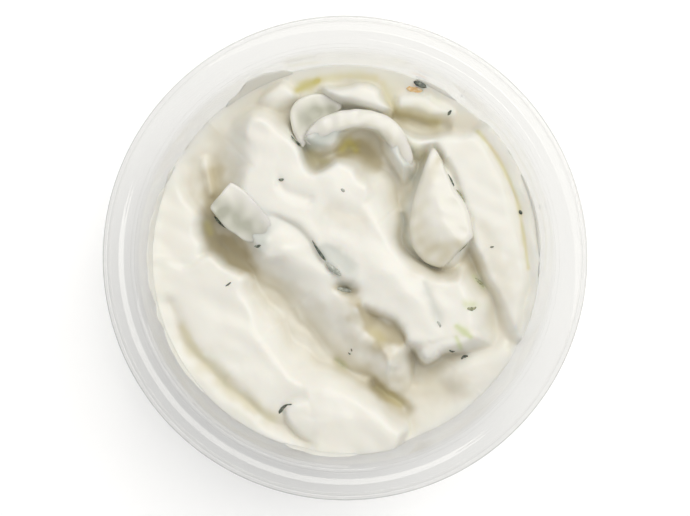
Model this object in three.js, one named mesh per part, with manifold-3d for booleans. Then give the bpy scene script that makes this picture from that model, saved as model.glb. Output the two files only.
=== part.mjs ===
// A helping of tzatziki in its clear round tub, with pieces of cucumber showing in the top.
// Millimetres, +Z up. The origin is the middle of the circle that the tub's foot ring stands on.

import * as THREE from "three";
import { mergeVertices } from "three/addons/utils/BufferGeometryUtils.js";
import Module from "manifold-3d";

const wasm = await Module();
wasm.setup();

// ---- driving dimensions -----------------------------------------------------------------------

const RIM_RADIUS = 47.5; // outside of the rolled lip
const TUB_HEIGHT = 50;
const WALL = 0.8;
const DRAFT = THREE.MathUtils.degToRad(9); // lean of the side wall
const TUB_SEGMENTS = 52;

const FOOT_INNER_RADIUS = 29.3; // of the foot ring, which stands round a raised floor
const FLOOR_RAISE = 1;
const FLOOR_STEP = 0.9; // radial run of the slope between foot ring and raised floor
const CORNER_RADIUS = 2.6; // inside the corner between floor and wall

const WALL_TOP_RADIUS = 40.6; // inner edge of the lid seat
const WALL_TOP_Z = 47.2;
const SEAT_RADIUS = 41.4; // outer edge of the lid seat
const SEAT_RISE = 0.25;
const FLANGE_INNER_Z = 48.4;
const LIP_INNER_RADIUS = 46.2;
const FLANGE_STEP_START = 43.2; // radii between which the flange steps up once, softly
const FLANGE_STEP_END = 44.7;
const FLANGE_STEP_RISE = 0.28;
const LIP_BEAD_RADIUS = 0.65;
const SKIRT_BOTTOM_Z = 46.5;

const GAP = 0.3; // air left between touching pieces
const DIP_SEGMENTS = 80;
const DIP_RINGS = 18;

// ---- solids -----------------------------------------------------------------------------------

/** Geometry of a closed body made of rings of equal count between two poles, faces outward. */
function bodyFromRings(rings, startPole, endPole) {
  const count = rings[0].length;
  const points = [startPole, ...rings.flat(), endPole];
  const endIndex = points.length - 1;
  const at = (ring, k) => 1 + ring * count + (k % count);
  const index = [];
  for (let k = 0; k < count; k++) {
    index.push(0, at(0, k + 1), at(0, k));
    index.push(endIndex, at(rings.length - 1, k), at(rings.length - 1, k + 1));
    for (let ring = 0; ring < rings.length - 1; ring++) {
      index.push(at(ring, k), at(ring, k + 1), at(ring + 1, k + 1));
      index.push(at(ring, k), at(ring + 1, k + 1), at(ring + 1, k));
    }
  }
  const geometry = new THREE.BufferGeometry().setFromPoints(points);
  geometry.setIndex(index);
  return geometry;
}

/** A closed geometry as a solid that can be cut. */
function solidFrom(geometry) {
  const bare = geometry.clone();
  bare.deleteAttribute("normal");
  bare.deleteAttribute("uv");
  const merged = mergeVertices(bare, 1e-4);
  return new wasm.Manifold(
    new wasm.Mesh({
      numProp: 3,
      vertProperties: new Float32Array(merged.attributes.position.array),
      triVerts: new Uint32Array(merged.index.array),
    }),
  );
}

/** A cut solid as a geometry again. */
function geometryFrom(solid) {
  const mesh = solid.getMesh();
  const geometry = new THREE.BufferGeometry();
  geometry.setAttribute("position", new THREE.BufferAttribute(mesh.vertProperties, 3));
  geometry.setIndex(new THREE.BufferAttribute(mesh.triVerts, 1));
  geometry.computeVertexNormals();
  return geometry;
}

/** The biggest of the separate bodies of a solid. */
function biggestBody(solid) {
  const bodies = solid.decompose();
  return bodies.reduce((best, body) => (body.volume() > best.volume() ? body : best));
}

/** A named mesh with its own finish. */
function part(name, geometry, color, roughness, extra = {}) {
  const material = new THREE.MeshStandardMaterial({ color, roughness, metalness: 0, ...extra });
  const mesh = new THREE.Mesh(geometry, material);
  mesh.name = name;
  return mesh;
}

// ---- tub --------------------------------------------------------------------------------------

const wallInnerRadius = (z) => WALL_TOP_RADIUS - (WALL_TOP_Z - z) * Math.tan(DRAFT);
const flangeTopZ = (r) => {
  const up = THREE.MathUtils.smoothstep(r, FLANGE_STEP_START, FLANGE_STEP_END);
  return FLANGE_INNER_Z + FLANGE_STEP_RISE * up;
};

/** Points of an arc about (centreR, centreZ), from one angle to another in degrees. */
function arc(centreR, centreZ, radius, fromDeg, toDeg, steps) {
  const points = [];
  for (let i = 0; i <= steps; i++) {
    const angle = THREE.MathUtils.degToRad(fromDeg + ((toDeg - fromDeg) * i) / steps);
    const r = centreR + radius * Math.cos(angle);
    points.push(new THREE.Vector2(r, centreZ + radius * Math.sin(angle)));
  }
  return points;
}

/**
 * Half section of the floor and wall, from the axis out and up to a height.
 * offset moves it square to the surface: 0 is the inner face, WALL the outer one, and a negative
 * value lies inside the tub.
 */
function cupSection(offset, topZ) {
  const draftDeg = THREE.MathUtils.radToDeg(DRAFT);
  const floorZ = WALL - offset;
  const cornerZ = WALL + CORNER_RADIUS;
  const slant = CORNER_RADIUS / Math.cos(DRAFT);
  const cornerR = wallInnerRadius(cornerZ) - slant;
  const stepR = FOOT_INNER_RADIUS - offset * 0.5;
  return [
    new THREE.Vector2(0, floorZ + FLOOR_RAISE),
    new THREE.Vector2(stepR - FLOOR_STEP, floorZ + FLOOR_RAISE),
    new THREE.Vector2(stepR, floorZ),
    ...arc(cornerR, cornerZ, CORNER_RADIUS + offset, -90, -draftDeg, 3),
    new THREE.Vector2(wallInnerRadius(topZ) + offset / Math.cos(DRAFT), topZ),
  ];
}

/** Upper face of the lid seat, the stepped flange and the rolled lip, ending at the skirt. */
function rimTop() {
  const stepMiddle = (FLANGE_STEP_START + FLANGE_STEP_END) / 2;
  const flangeRadii = [SEAT_RADIUS, FLANGE_STEP_START, stepMiddle, FLANGE_STEP_END, LIP_INNER_RADIUS];
  const flange = flangeRadii.map((r) => new THREE.Vector2(r, flangeTopZ(r)));
  const beadR = RIM_RADIUS - LIP_BEAD_RADIUS;
  const beadZ = TUB_HEIGHT - LIP_BEAD_RADIUS;
  return [
    new THREE.Vector2(SEAT_RADIUS - 0.05, WALL_TOP_Z + SEAT_RISE),
    ...flange,
    ...arc(beadR, beadZ, LIP_BEAD_RADIUS, 150, 0, 4),
    new THREE.Vector2(RIM_RADIUS, SKIRT_BOTTOM_Z),
  ];
}

/** Under face of the same, from the skirt back to the wall's outside. */
function rimUnder() {
  return [
    new THREE.Vector2(RIM_RADIUS - WALL, SKIRT_BOTTOM_Z),
    new THREE.Vector2(RIM_RADIUS - WALL, flangeTopZ(LIP_INNER_RADIUS) - WALL),
    new THREE.Vector2(SEAT_RADIUS + WALL, flangeTopZ(SEAT_RADIUS) - WALL),
    new THREE.Vector2(SEAT_RADIUS + WALL, WALL_TOP_Z + SEAT_RISE - WALL),
  ];
}

/** The tub: its section turned about the upright axis. */
function tubGeometry() {
  const inner = cupSection(0, WALL_TOP_Z);
  const outer = cupSection(WALL, WALL_TOP_Z - WALL);
  const section = [...outer, ...rimUnder().reverse(), ...rimTop().reverse(), ...inner.reverse()];
  return new THREE.LatheGeometry(section, TUB_SEGMENTS).rotateX(Math.PI / 2);
}

// ---- surface of the dip -----------------------------------------------------------------------

const VALLEY_Z = 32.2; // level of the lowest smooth valleys
const SHORE_RISE = 3.2; // how much higher the dip stands where it wets the wall
const LIP_SOFTNESS = 0.9; // half breadth of the face under a lip
const SLUMP_RINGS = [[0.9, 6, 0.8], [1.8, 8, 0.6]]; // [radius, places on it, weight of each]
const LINE_STEPS = 3; // pieces of a smooth line between two stations

/**
 * Folds left by the spoon. Each has a flat sloping top: its height at a place x, y, then its slopes
 * along X and Y. From an edge, at the foot's level, its side rolls up to the top; a station of the
 * edge is [x, y, breadth of the roll]. A low power makes the side blunt, a high one makes it gentle,
 * and blend is the softness of the crease where the fold meets what lies under it.
 */
const FOLDS = {
  leftShore: {
    top: { z: 36.4, x: -34, y: 11, slopeX: 0, slopeY: 0 },
    foot: 31,
    power: 0.8,
    blend: 2,
    edge: [[-31, 25, 4], [-30.6, 14, 3], [-28.8, 6, 1.8], [-27.6, 2.6, 1.6], [-30, -1.5, 2],
      [-38, -3, 3], [-44, 3, 4], [-41, 22, 4]],
  },
  farLeftLump: {
    top: { z: 37, x: -13, y: 33, slopeX: 0, slopeY: 0 },
    foot: 31,
    power: 0.8,
    blend: 1.5,
    edge: [[-18.5, 31, 2.5], [-15.5, 35, 2.3], [-10.2, 35.4, 2.2], [-9, 33, 1.6], [-14, 29, 3]],
  },
  farRightLump: {
    top: { z: 36.2, x: 16, y: 31, slopeX: 0, slopeY: 0.05 },
    foot: 31,
    power: 0.8,
    blend: 1.2,
    edge: [[10.4, 33, 2], [17, 33.6, 2], [22.6, 28.8, 1.8], [15, 28.4, 1.4], [10.6, 28.8, 1.4]],
  },
  nearRight: {
    top: { z: 35.4, x: 28, y: -22, slopeX: 0.05, slopeY: 0 },
    foot: 32,
    power: 1,
    blend: 2,
    edge: [[19, -22, 3.5], [27, -18, 3.5], [35, -17, 3], [31, -27, 3.5], [22, -28, 4]],
  },
  nearLeft: {
    top: { z: 38, x: -14, y: -18, slopeX: 0.05, slopeY: -0.02 },
    foot: 31,
    power: 0.9,
    blend: 1.2,
    edge: [[-44, 3, 6], [-33, 1.2, 3.5], [-27.3, 1.4, 1.5], [-19.4, -2.9, 2.6], [-13.4, -11.4, 6],
      [-9.8, -17.4, 7], [0.8, -23.2, 5], [9.5, -30.2, 3], [12.9, -34.5, 2.3], [9, -42, 4],
      [-6, -46, 8], [-26, -40, 8], [-42, -20, 8]],
  },
  rightShore: {
    top: { z: 37.8, x: 28, y: 8, slopeX: -0.02, slopeY: 0.02 },
    foot: 31,
    power: 0.8,
    blend: 1.4,
    edge: [[11, 26.6, 1.6], [20, 25.4, 2], [31, 30, 4], [43, 8, 5], [40, -16, 4],
      [31, -11.5, 2.2], [25.6, 1, 1.3], [24.6, 8, 1.4], [18, 21.9, 1.4], [13, 20.3, 2.6]],
  },
  middle: {
    top: { z: 39.4, x: 2, y: 4, slopeX: 0.015, slopeY: 0 },
    foot: 32.6,
    power: 1.5,
    blend: 1.6,
    edge: [[-24.5, 27.5, 8], [-19.5, 30.8, 4], [-12, 28.5, 3], [-7.6, 20.4, 1.8], [-3.4, 19.2, 2],
      [2.6, 19.6, 3], [9.6, 14.8, 8], [12, 4, 4], [19, -2.2, 3], [28.6, -5.8, 5], [30, -18, 6],
      [20, -19.2, 2.4], [15.4, -20.6, 1.4], [13.9, -24, 1.6], [10, -28, 6], [2, -23, 10],
      [-7, -14.5, 11], [-15, -5.6, 8], [-20, 1.4, 3], [-24.4, 9.4, 2], [-25, 17, 8]],
  },
  innerArch: {
    top: { z: 38.6, x: 2, y: 27, slopeX: 0, slopeY: 0 },
    foot: 32,
    power: 0.7,
    blend: 1,
    edge: [[-8.8, 23.4, 1.4], [-4.4, 27.6, 1.5], [2.1, 29.4, 1.5], [8.4, 27.8, 1.5],
      [12.8, 21, 1.8], [12, 15.4, 3], [8, 21.6, 1.6], [4, 26.2, 1.4], [-0.4, 24.6, 1.4],
      [-4.6, 21.6, 1.2]],
  },
  wedgeBed: {
    top: { z: 37.6, x: 18, y: 9, slopeX: 0, slopeY: 0 },
    foot: 32,
    power: 0.9,
    blend: 1.6,
    edge: [[17.6, 23, 2], [25.6, 11, 2], [26.6, 4, 2], [22, -2, 2], [14, 0.6, 2], [12, 9, 2.4],
      [14.4, 17, 2.4]],
  },
  farArch: {
    top: { z: 39.6, x: -1, y: 33, slopeX: 0.03, slopeY: 0 },
    foot: 31,
    power: 0.8,
    blend: 1.2,
    edge: [[-11.8, 28.4, 1.6], [-8, 34, 2.2], [0, 35.4, 2.4], [6.5, 35.4, 2.6], [10.2, 29, 1],
      [2, 29.6, 2.4], [-5, 31, 2.4], [-9.8, 25.6, 1.6]],
  },
};

/**
 * Edges that stand over a hollow, as lines of points [x, y]. The dip rises by rise to the left of
 * the line and falls by drop to its right, each fading out over its reach.
 */
const LIPS = [
  {
    rise: 0.3,
    riseReach: 3,
    drop: 1.2,
    dropReach: 2.8,
    line: [[-16, 9.2], [-9, 6.5], [-5.4, 1.4], [-0.6, -3.6], [3.4, -5.4]],
  },
  {
    rise: 0.9,
    riseReach: 4,
    drop: 4.2,
    dropReach: 3.4,
    line: [[2.6, -3.6], [3.6, -9], [8, -12], [11.6, -13.5], [12.8, -18.4]],
  },
  {
    rise: 0.3,
    riseReach: 2,
    drop: 2.2,
    dropReach: 3.2,
    line: [[12.9, -16.4], [15.5, -19.6], [16.7, -20.6], [20, -18.5], [25.4, -19.6]],
  },
];

/** Hollows: [x, y, depth, half length, half breadth, turn in degrees]. */
const HOLLOWS = [
  [1.2, 22.6, 2.2, 3.2, 2.2, 0],
  [4.6, 21.8, 1.8, 3.2, 3.6, 20],
  [-5.6, 20.2, 2, 2.4, 1.5, -15],
  [0.1, -6.3, 4, 2.7, 1.4, -6],
  [-23.8, 2.4, 3.2, 5.6, 2.8, -48],
  [17.6, -22.4, 1.6, 5, 2.4, 5],
  [11.4, 13, 1.2, 4, 2.5, -60],
];
const HOLLOW_SHARPNESS = 1.5;

/** Creases: a line of points [x, y], how broad and how deep. */
const CREASES = [
  { width: 1, depth: 1.6, line: [[9.8, 28.4], [13.5, 28.1], [20, 26]] },
  { width: 0.9, depth: 1.6, line: [[11.8, 8.4], [12.8, 2.6], [18.6, -1.8]] },
  { width: 0.9, depth: 2.2, line: [[5.8, -25.6], [8.4, -27.2], [12.6, -31]] },
  { width: 1.5, depth: 1, line: [[-35, -9], [-27, -22.6], [-13, -33.4], [-8, -36.4]] },
  { width: 1, depth: 0.9, line: [[26.5, 25.5], [34.6, 10], [36.8, -6], [33, -18]] },
];

/** Stations joined by a smooth line, every value of theirs passing evenly from one to the next. */
function smoothLine(stations, closed = false) {
  const places = stations.map(([x, y]) => new THREE.Vector3(x, y, 0));
  const curve = new THREE.CatmullRomCurve3(places, closed);
  const spans = closed ? stations.length : stations.length - 1;
  const samples = [];
  for (let i = 0; i <= spans * LINE_STEPS; i++) {
    const place = i / LINE_STEPS;
    const k = Math.min(Math.floor(place), spans - 1);
    const after = stations[(k + 1) % stations.length];
    const point = curve.getPoint(place / spans);
    const values = stations[k].slice(2).map((value, n) => {
      return THREE.MathUtils.lerp(value, after[n + 2], place - k);
    });
    samples.push([point.x, point.y, ...values]);
  }
  return samples;
}

/** Nearest place on a sampled line: distance, side (+1 left, -1 right) and the values there. */
function nearestOnLine(samples, x, y) {
  let best = { distance: Infinity };
  for (let i = 0; i < samples.length - 1; i++) {
    const [ax, ay] = samples[i];
    const [bx, by] = samples[i + 1];
    const dx = bx - ax;
    const dy = by - ay;
    const along = ((x - ax) * dx + (y - ay) * dy) / (dx * dx + dy * dy);
    const t = THREE.MathUtils.clamp(along, 0, 1);
    const distance = Math.hypot(x - ax - t * dx, y - ay - t * dy);
    if (distance < best.distance) {
      const side = Math.sign(dx * (y - ay) - dy * (x - ax)) || 1;
      const values = samples[i].slice(2).map((value, n) => {
        return THREE.MathUtils.lerp(value, samples[i + 1][n + 2], t);
      });
      best = { distance, side, values };
    }
  }
  return best;
}

/** Whether a place lies within a closed line of samples. */
function isInside(samples, x, y) {
  let found = false;
  for (let i = 0; i < samples.length - 1; i++) {
    const [ax, ay] = samples[i];
    const [bx, by] = samples[i + 1];
    const crosses = ay > y !== by > y;
    if (crosses && x < ax + ((bx - ax) * (y - ay)) / (by - ay)) {
      found = !found;
    }
  }
  return found;
}

/** The higher of two levels, with the crease between them rounded off. */
function softMax(a, b, softness) {
  const h = Math.max(softness - Math.abs(a - b), 0) / softness;
  return Math.max(a, b) + (h * h * softness) / 4;
}

const folds = Object.values(FOLDS).map((fold) => ({ ...fold, samples: smoothLine(fold.edge, true) }));
const lips = LIPS.map((lip) => ({ ...lip, samples: smoothLine(lip.line) }));
const creases = CREASES.map((crease) => ({ ...crease, samples: smoothLine(crease.line) }));

/** Level of one fold at a place: outside its edge it falls away. */
function foldZ({ top, foot, power, samples }, x, y) {
  const { distance, values } = nearestOnLine(samples, x, y);
  if (!isInside(samples, x, y)) {
    return foot - distance * (top.z - foot);
  }
  const u = Math.min(distance / values[0], 1);
  const topZ = top.z + top.slopeX * (x - top.x) + top.slopeY * (y - top.y);
  return foot + (topZ - foot) * (u * (2 - u)) ** power;
}

/** How much a lip moves the surface at a place. */
function lipRise({ rise, riseReach, drop, dropReach, samples }, x, y) {
  const { distance, side } = nearestOnLine(samples, x, y);
  const onTop = rise * Math.exp(-(side > 0 ? distance : 0) / riseReach);
  const under = -drop * Math.exp(-(side > 0 ? 0 : distance) / dropReach);
  const share = 0.5 + 0.5 * Math.tanh((distance * side) / LIP_SOFTNESS);
  return share * onTop + (1 - share) * under;
}

/** Depth of a hollow at a place, most at its middle. */
function hollowDepth([cx, cy, depth, halfLength, halfBreadth, turnDeg], x, y) {
  const turn = THREE.MathUtils.degToRad(turnDeg);
  const along = (x - cx) * Math.cos(turn) + (y - cy) * Math.sin(turn);
  const across = (y - cy) * Math.cos(turn) - (x - cx) * Math.sin(turn);
  const u = Math.hypot(along / halfLength, across / halfBreadth);
  return depth * Math.exp(-HOLLOW_SHARPNESS * u * u);
}

/** Level of the dip's surface at a place, before it is softened. */
function sharpDipZ(x, y) {
  const shore = Math.hypot(x, y) / wallInnerRadius(VALLEY_Z);
  let z = VALLEY_Z + SHORE_RISE * shore ** 8;
  for (const fold of folds) {
    z = softMax(z, foldZ(fold, x, y), fold.blend);
  }
  for (const lip of lips) {
    z += lipRise(lip, x, y);
  }
  for (const hollow of HOLLOWS) {
    z -= hollowDepth(hollow, x, y);
  }
  for (const { width, depth, samples } of creases) {
    z -= depth * Math.exp(-((nearestOnLine(samples, x, y).distance / width) ** 2));
  }
  return z;
}

/** Level of the dip's surface at a place: the mean over a small disc, as a thick dip slumps. */
function dipZ(x, y) {
  let sum = sharpDipZ(x, y);
  let weight = 1;
  for (const [radius, count, share] of SLUMP_RINGS) {
    for (let k = 0; k < count; k++) {
      const angle = (2 * Math.PI * k) / count;
      sum += share * sharpDipZ(x + radius * Math.cos(angle), y + radius * Math.sin(angle));
      weight += share;
    }
  }
  return sum / weight;
}

/** Radius at which the dip's surface meets the wall in a direction, less the gap. */
function shoreRadius(cos, sin) {
  let r = wallInnerRadius(VALLEY_Z);
  for (let pass = 0; pass < 6; pass++) {
    r = wallInnerRadius(dipZ(r * cos, r * sin)) - GAP / Math.cos(DRAFT);
  }
  return r;
}

/** The dip before the cucumber is let into it: the cup's inside up to the folded surface. */
function dipGeometry() {
  const shoreZ = VALLEY_Z + SHORE_RISE;
  const cup = cupSection(-GAP, shoreZ).slice(0, -1);
  const wallLevels = [shoreZ * 0.35, shoreZ * 0.7];
  const directions = [];
  for (let k = 0; k < DIP_SEGMENTS; k++) {
    const angle = (2 * Math.PI * k) / DIP_SEGMENTS;
    const cos = Math.cos(angle);
    const sin = Math.sin(angle);
    directions.push({ cos, sin, shore: shoreRadius(cos, sin) });
  }
  const rings = [];
  for (const corner of cup.slice(1)) {
    rings.push(directions.map(({ cos, sin }) => {
      return new THREE.Vector3(corner.x * cos, corner.x * sin, corner.y);
    }));
  }
  for (const z of wallLevels) {
    const r = wallInnerRadius(z) - GAP / Math.cos(DRAFT);
    rings.push(directions.map(({ cos, sin }) => new THREE.Vector3(r * cos, r * sin, z)));
  }
  for (let ring = DIP_RINGS; ring > 0; ring--) {
    rings.push(directions.map(({ cos, sin, shore }) => {
      const x = (shore * ring * cos) / DIP_RINGS;
      const y = (shore * ring * sin) / DIP_RINGS;
      return new THREE.Vector3(x, y, dipZ(x, y));
    }));
  }
  const bottom = new THREE.Vector3(0, 0, cup[0].y);
  const middle = new THREE.Vector3(0, 0, dipZ(0, 0));
  return bodyFromRings(rings, bottom, middle);
}

// ---- cucumber ---------------------------------------------------------------------------------

const CUCUMBER_RINGS = 9;
const CUCUMBER_SIDES = 14;

/**
 * Pieces of cucumber. Each runs along a line of stations [x, y, z of its middle, half width,
 * half depth]; boxy is the power of its rounded-box section, and roll leans it over, in degrees.
 */
const CUCUMBERS = {
  cucumber_wedge_right: {
    boxy: 2.8,
    roll: 12,
    line: [
      [18.8, 20.4, 36.6, 1.6, 2],
      [19, 14, 36.4, 3.6, 3],
      [19, 7, 36.4, 6, 3.4],
      [19.4, 0.8, 35.8, 5, 3],
    ],
  },
  cucumber_dice_left: {
    boxy: 5,
    roll: -10,
    line: [
      [-24.8, 12.2, 35.6, 3.4, 3],
      [-21, 9.6, 35.8, 4.4, 3],
      [-17, 6.4, 35.6, 3.2, 3],
    ],
  },
  cucumber_chunk_middle: {
    boxy: 4,
    roll: 12,
    line: [
      [-4.2, 1.6, 36.8, 2.6, 2.6],
      [-1.6, -1.2, 37, 3.2, 2.8],
      [1, -3.2, 36.8, 2.4, 2.6],
    ],
  },
  cucumber_slice_top_outer: {
    boxy: 3,
    roll: 0,
    line: [
      [-9.4, 24.2, 35.4, 1.2, 2],
      [-9.8, 27.8, 35.4, 1.9, 2.2],
      [-7, 30, 35.2, 2, 2.2],
      [-2.8, 30.2, 35, 1.4, 2],
    ],
  },
  cucumber_slice_top_inner: {
    boxy: 3,
    roll: 0,
    line: [
      [-7.4, 23.4, 36.8, 1.5, 2],
      [-4.2, 26, 37.2, 1.8, 2.2],
      [1, 27.8, 37.6, 1.7, 2.2],
      [6.8, 27, 37.6, 1.7, 2.2],
      [10.4, 22.8, 37.4, 1.7, 2],
      [12.2, 18.4, 36.6, 1.6, 1.8],
    ],
  },
};

const signedPower = (value, power) => Math.sign(value) * Math.abs(value) ** power;

/** A rounded-box bar bent along its stations, grown outward by a margin. */
function cucumberGeometry({ line, boxy, roll }, margin = 0) {
  const curve = new THREE.CatmullRomCurve3(line.map(([x, y, z]) => new THREE.Vector3(x, y, z)));
  const lean = THREE.MathUtils.degToRad(roll);
  const stretch = 1 + (2 * margin) / curve.getLength();
  const rings = [];
  const ends = [];
  for (let i = 0; i <= CUCUMBER_RINGS; i++) {
    const latitude = Math.PI * (i / CUCUMBER_RINGS - 0.5);
    const along = signedPower(Math.sin(latitude), 2 / boxy);
    const girth = Math.abs(Math.cos(latitude)) ** (2 / boxy);
    const t = 0.5 + along / 2;
    const tangent = curve.getTangent(t);
    const overshoot = (along * (stretch - 1) * curve.getLength()) / 2;
    const middle = curve.getPoint(t).addScaledVector(tangent, overshoot);
    const place = t * (line.length - 1);
    const k = Math.min(Math.floor(place), line.length - 2);
    const halfWidth = THREE.MathUtils.lerp(line[k][3], line[k + 1][3], place - k) + margin;
    const halfDepth = THREE.MathUtils.lerp(line[k][4], line[k + 1][4], place - k) + margin;
    const side = new THREE.Vector3(-tangent.y, tangent.x, 0).normalize();
    const up = new THREE.Vector3().crossVectors(tangent, side).applyAxisAngle(tangent, lean);
    side.applyAxisAngle(tangent, lean);
    if (i === 0 || i === CUCUMBER_RINGS) {
      ends.push(middle);
      continue;
    }
    const ring = [];
    for (let n = 0; n < CUCUMBER_SIDES; n++) {
      const turn = (2 * Math.PI * n) / CUCUMBER_SIDES;
      const across = halfWidth * girth * signedPower(Math.cos(turn), 2 / boxy);
      const rise = halfDepth * girth * signedPower(Math.sin(turn), 2 / boxy);
      ring.push(middle.clone().addScaledVector(side, across).addScaledVector(up, rise));
    }
    rings.push(ring);
  }
  return bodyFromRings(rings, ends[0], ends[1]);
}

/** The dip with a bed cut in it for each piece of cucumber. */
function dipAroundCucumber() {
  let dip = solidFrom(dipGeometry());
  for (const piece of Object.values(CUCUMBERS)) {
    dip = dip.subtract(solidFrom(cucumberGeometry(piece, GAP)));
  }
  return geometryFrom(biggestBody(dip));
}

// ---- the whole --------------------------------------------------------------------------------

const CLEAR_PLASTIC = { transparent: true, opacity: 0.3 };

const tzatziki = new THREE.Group();
tzatziki.add(part("tub", tubGeometry(), "#eef0ef", 0.12, CLEAR_PLASTIC));
tzatziki.add(part("dip", dipAroundCucumber(), "#f1ede0", 0.35));
for (const [name, piece] of Object.entries(CUCUMBERS)) {
  tzatziki.add(part(name, cucumberGeometry(piece), "#cfd3bd", 0.25));
}

export default tzatziki;
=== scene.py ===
"""Looks of a helping of tzatziki in its clear round tub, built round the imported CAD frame.

Sizes are written in millimetres and turned to metres when a mesh is made.
"""

import logging
import math
from dataclasses import dataclass, field
from enum import Enum
from typing import Any, Dict, List, Optional, Sequence, Tuple

import bpy
import numpy as np
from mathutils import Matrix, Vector


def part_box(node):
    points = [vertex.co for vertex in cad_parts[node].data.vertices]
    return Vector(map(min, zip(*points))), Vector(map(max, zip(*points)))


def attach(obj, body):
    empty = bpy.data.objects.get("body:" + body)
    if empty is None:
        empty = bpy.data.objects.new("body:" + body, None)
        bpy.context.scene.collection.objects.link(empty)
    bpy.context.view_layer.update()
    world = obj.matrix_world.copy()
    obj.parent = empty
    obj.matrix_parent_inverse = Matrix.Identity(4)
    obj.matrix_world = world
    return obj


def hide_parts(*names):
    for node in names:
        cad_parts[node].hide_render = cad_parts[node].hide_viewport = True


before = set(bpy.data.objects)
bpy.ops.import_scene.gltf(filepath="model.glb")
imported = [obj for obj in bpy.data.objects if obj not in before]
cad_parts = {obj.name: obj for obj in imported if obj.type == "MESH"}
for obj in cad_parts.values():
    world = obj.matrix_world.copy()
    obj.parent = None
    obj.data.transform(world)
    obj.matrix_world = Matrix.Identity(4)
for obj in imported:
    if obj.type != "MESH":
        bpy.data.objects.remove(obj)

LOG = logging.getLogger("tzatziki")
MM = 0.001

Array = np.ndarray
Station = Tuple[float, ...]
Node = bpy.types.Node
Socket = bpy.types.NodeSocket


# ---- small tools -----------------------------------------------------------------------------


def linear(code: str) -> Tuple[float, float, float, float]:
    """An sRGB hex colour as linear light.

    Args:
        code: "#rrggbb".

    Returns:
        Red, green, blue and an alpha of one.
    """
    channels = [int(code[i : i + 2], 16) / 255 for i in (1, 3, 5)]
    light = [c / 12.92 if c <= 0.04045 else ((c + 0.055) / 1.055) ** 2.4 for c in channels]
    return (light[0], light[1], light[2], 1.0)


def waves(x: Array, y: Array, length: float, seed: int, count: int = 18) -> Array:
    """Smooth unevenness: a seeded sum of cosines that run in all directions.

    Args:
        x: places along X.
        y: places along Y.
        length: middle wavelength.
        seed: which pattern.
        count: how many cosines.

    Returns:
        Values with a spread of about one.
    """
    rng = np.random.default_rng(seed)
    turn = rng.uniform(0, 2 * np.pi, count)
    phase = rng.uniform(0, 2 * np.pi, count)
    period = length * rng.uniform(0.75, 1.4, count)
    total = np.zeros_like(x)
    for a, p, w in zip(turn, phase, period):
        total += np.cos(2 * np.pi * (x * np.cos(a) + y * np.sin(a)) / w + p)
    return total / math.sqrt(count / 2)


def uneven_by(layers: Sequence[Tuple[float, float]], x: Array, y: Array, seed: int) -> Array:
    """Layers of waves added up.

    Args:
        layers: depth and wavelength of each.
        x: places along X.
        y: places along Y.
        seed: pattern of the first layer; each next layer has the next pattern.

    Returns:
        The sum at every place.
    """
    return sum(
        depth * waves(x, y, length, seed + i) for i, (depth, length) in enumerate(layers)
    )


def smooth_line(stations: Sequence[Station], closed: bool = False, per: int = 7) -> Array:
    """Catmull-Rom line through stations, with every value after x and y carried along.

    Args:
        stations: rows of x, y and any further values.
        closed: whether the line comes back to its start.
        per: samples between two stations.

    Returns:
        Rows of the same width as the stations.
    """
    p = np.array(stations, float)
    n = len(p)
    if closed:
        t = np.arange(n * per + 1) / per
        k = t.astype(int)
        i0, i1, i2, i3 = (k - 1) % n, k % n, (k + 1) % n, (k + 2) % n
    else:
        p = np.vstack([2 * p[0] - p[1], p, 2 * p[-1] - p[-2]])
        t = np.linspace(0, n - 1, (n - 1) * per + 1)
        k = np.clip(t.astype(int), 0, n - 2)
        i0, i1, i2, i3 = k, k + 1, k + 2, k + 3
    f = (t - k)[:, None]
    a, b, c, d = p[i0], p[i1], p[i2], p[i3]
    return 0.5 * (
        2 * b + (c - a) * f + (2 * a - 5 * b + 4 * c - d) * f**2 + (3 * b - a - 3 * c + d) * f**3
    )


@dataclass
class Nearness:
    """How points lie to a line: distance, side (+1 left), place along it and left-hand normal."""

    distance: Array
    side: Array
    place: Array
    normal_x: Array
    normal_y: Array

    def taper(self, samples: int, share: float = 0.18) -> Array:
        """One along the line, fading to nought at its two ends."""
        last = samples - 1
        return np.clip(np.minimum(self.place, last - self.place) / (share * last), 0, 1) ** 0.7


def near_line(line: Array, x: Array, y: Array) -> Nearness:
    """Nearness of every point to a line of samples.

    Args:
        line: samples whose first two values are x and y.
        x: places along X.
        y: places along Y.

    Returns:
        The nearest distance, side, place and normal for each point.
    """
    best = np.full(x.shape, 1e9)
    side, place = np.ones(x.shape), np.zeros(x.shape)
    nx, ny = np.zeros(x.shape), np.zeros(x.shape)
    for i, (a, b) in enumerate(zip(line[:-1], line[1:])):
        dx, dy = b[0] - a[0], b[1] - a[1]
        size = math.hypot(dx, dy) + 1e-12
        t = np.clip(((x - a[0]) * dx + (y - a[1]) * dy) / size**2, 0, 1)
        d = (x - a[0] - t * dx) ** 2 + (y - a[1] - t * dy) ** 2
        closer = d < best
        best = np.where(closer, d, best)
        turn = dx * (y - a[1]) - dy * (x - a[0])
        side = np.where(closer, np.where(turn >= 0, 1.0, -1.0), side)
        place = np.where(closer, i + t, place)
        nx = np.where(closer, -dy / size, nx)
        ny = np.where(closer, dx / size, ny)
    return Nearness(np.sqrt(best), side, place, nx, ny)


def inside(line: Array, x: Array, y: Array) -> Array:
    """Whether each point lies within a closed line of samples.

    Args:
        line: samples whose first two values are x and y, the last the same as the first.
        x: places along X.
        y: places along Y.

    Returns:
        True where a ray towards +X crosses the line an odd number of times.
    """
    found = np.zeros(x.shape, bool)
    for a, b in zip(line[:-1], line[1:]):
        crosses = (a[1] > y) != (b[1] > y)
        found ^= crosses & (x < (b[0] - a[0]) * (y - a[1]) / (b[1] - a[1] + 1e-12) + a[0])
    return found


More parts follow.
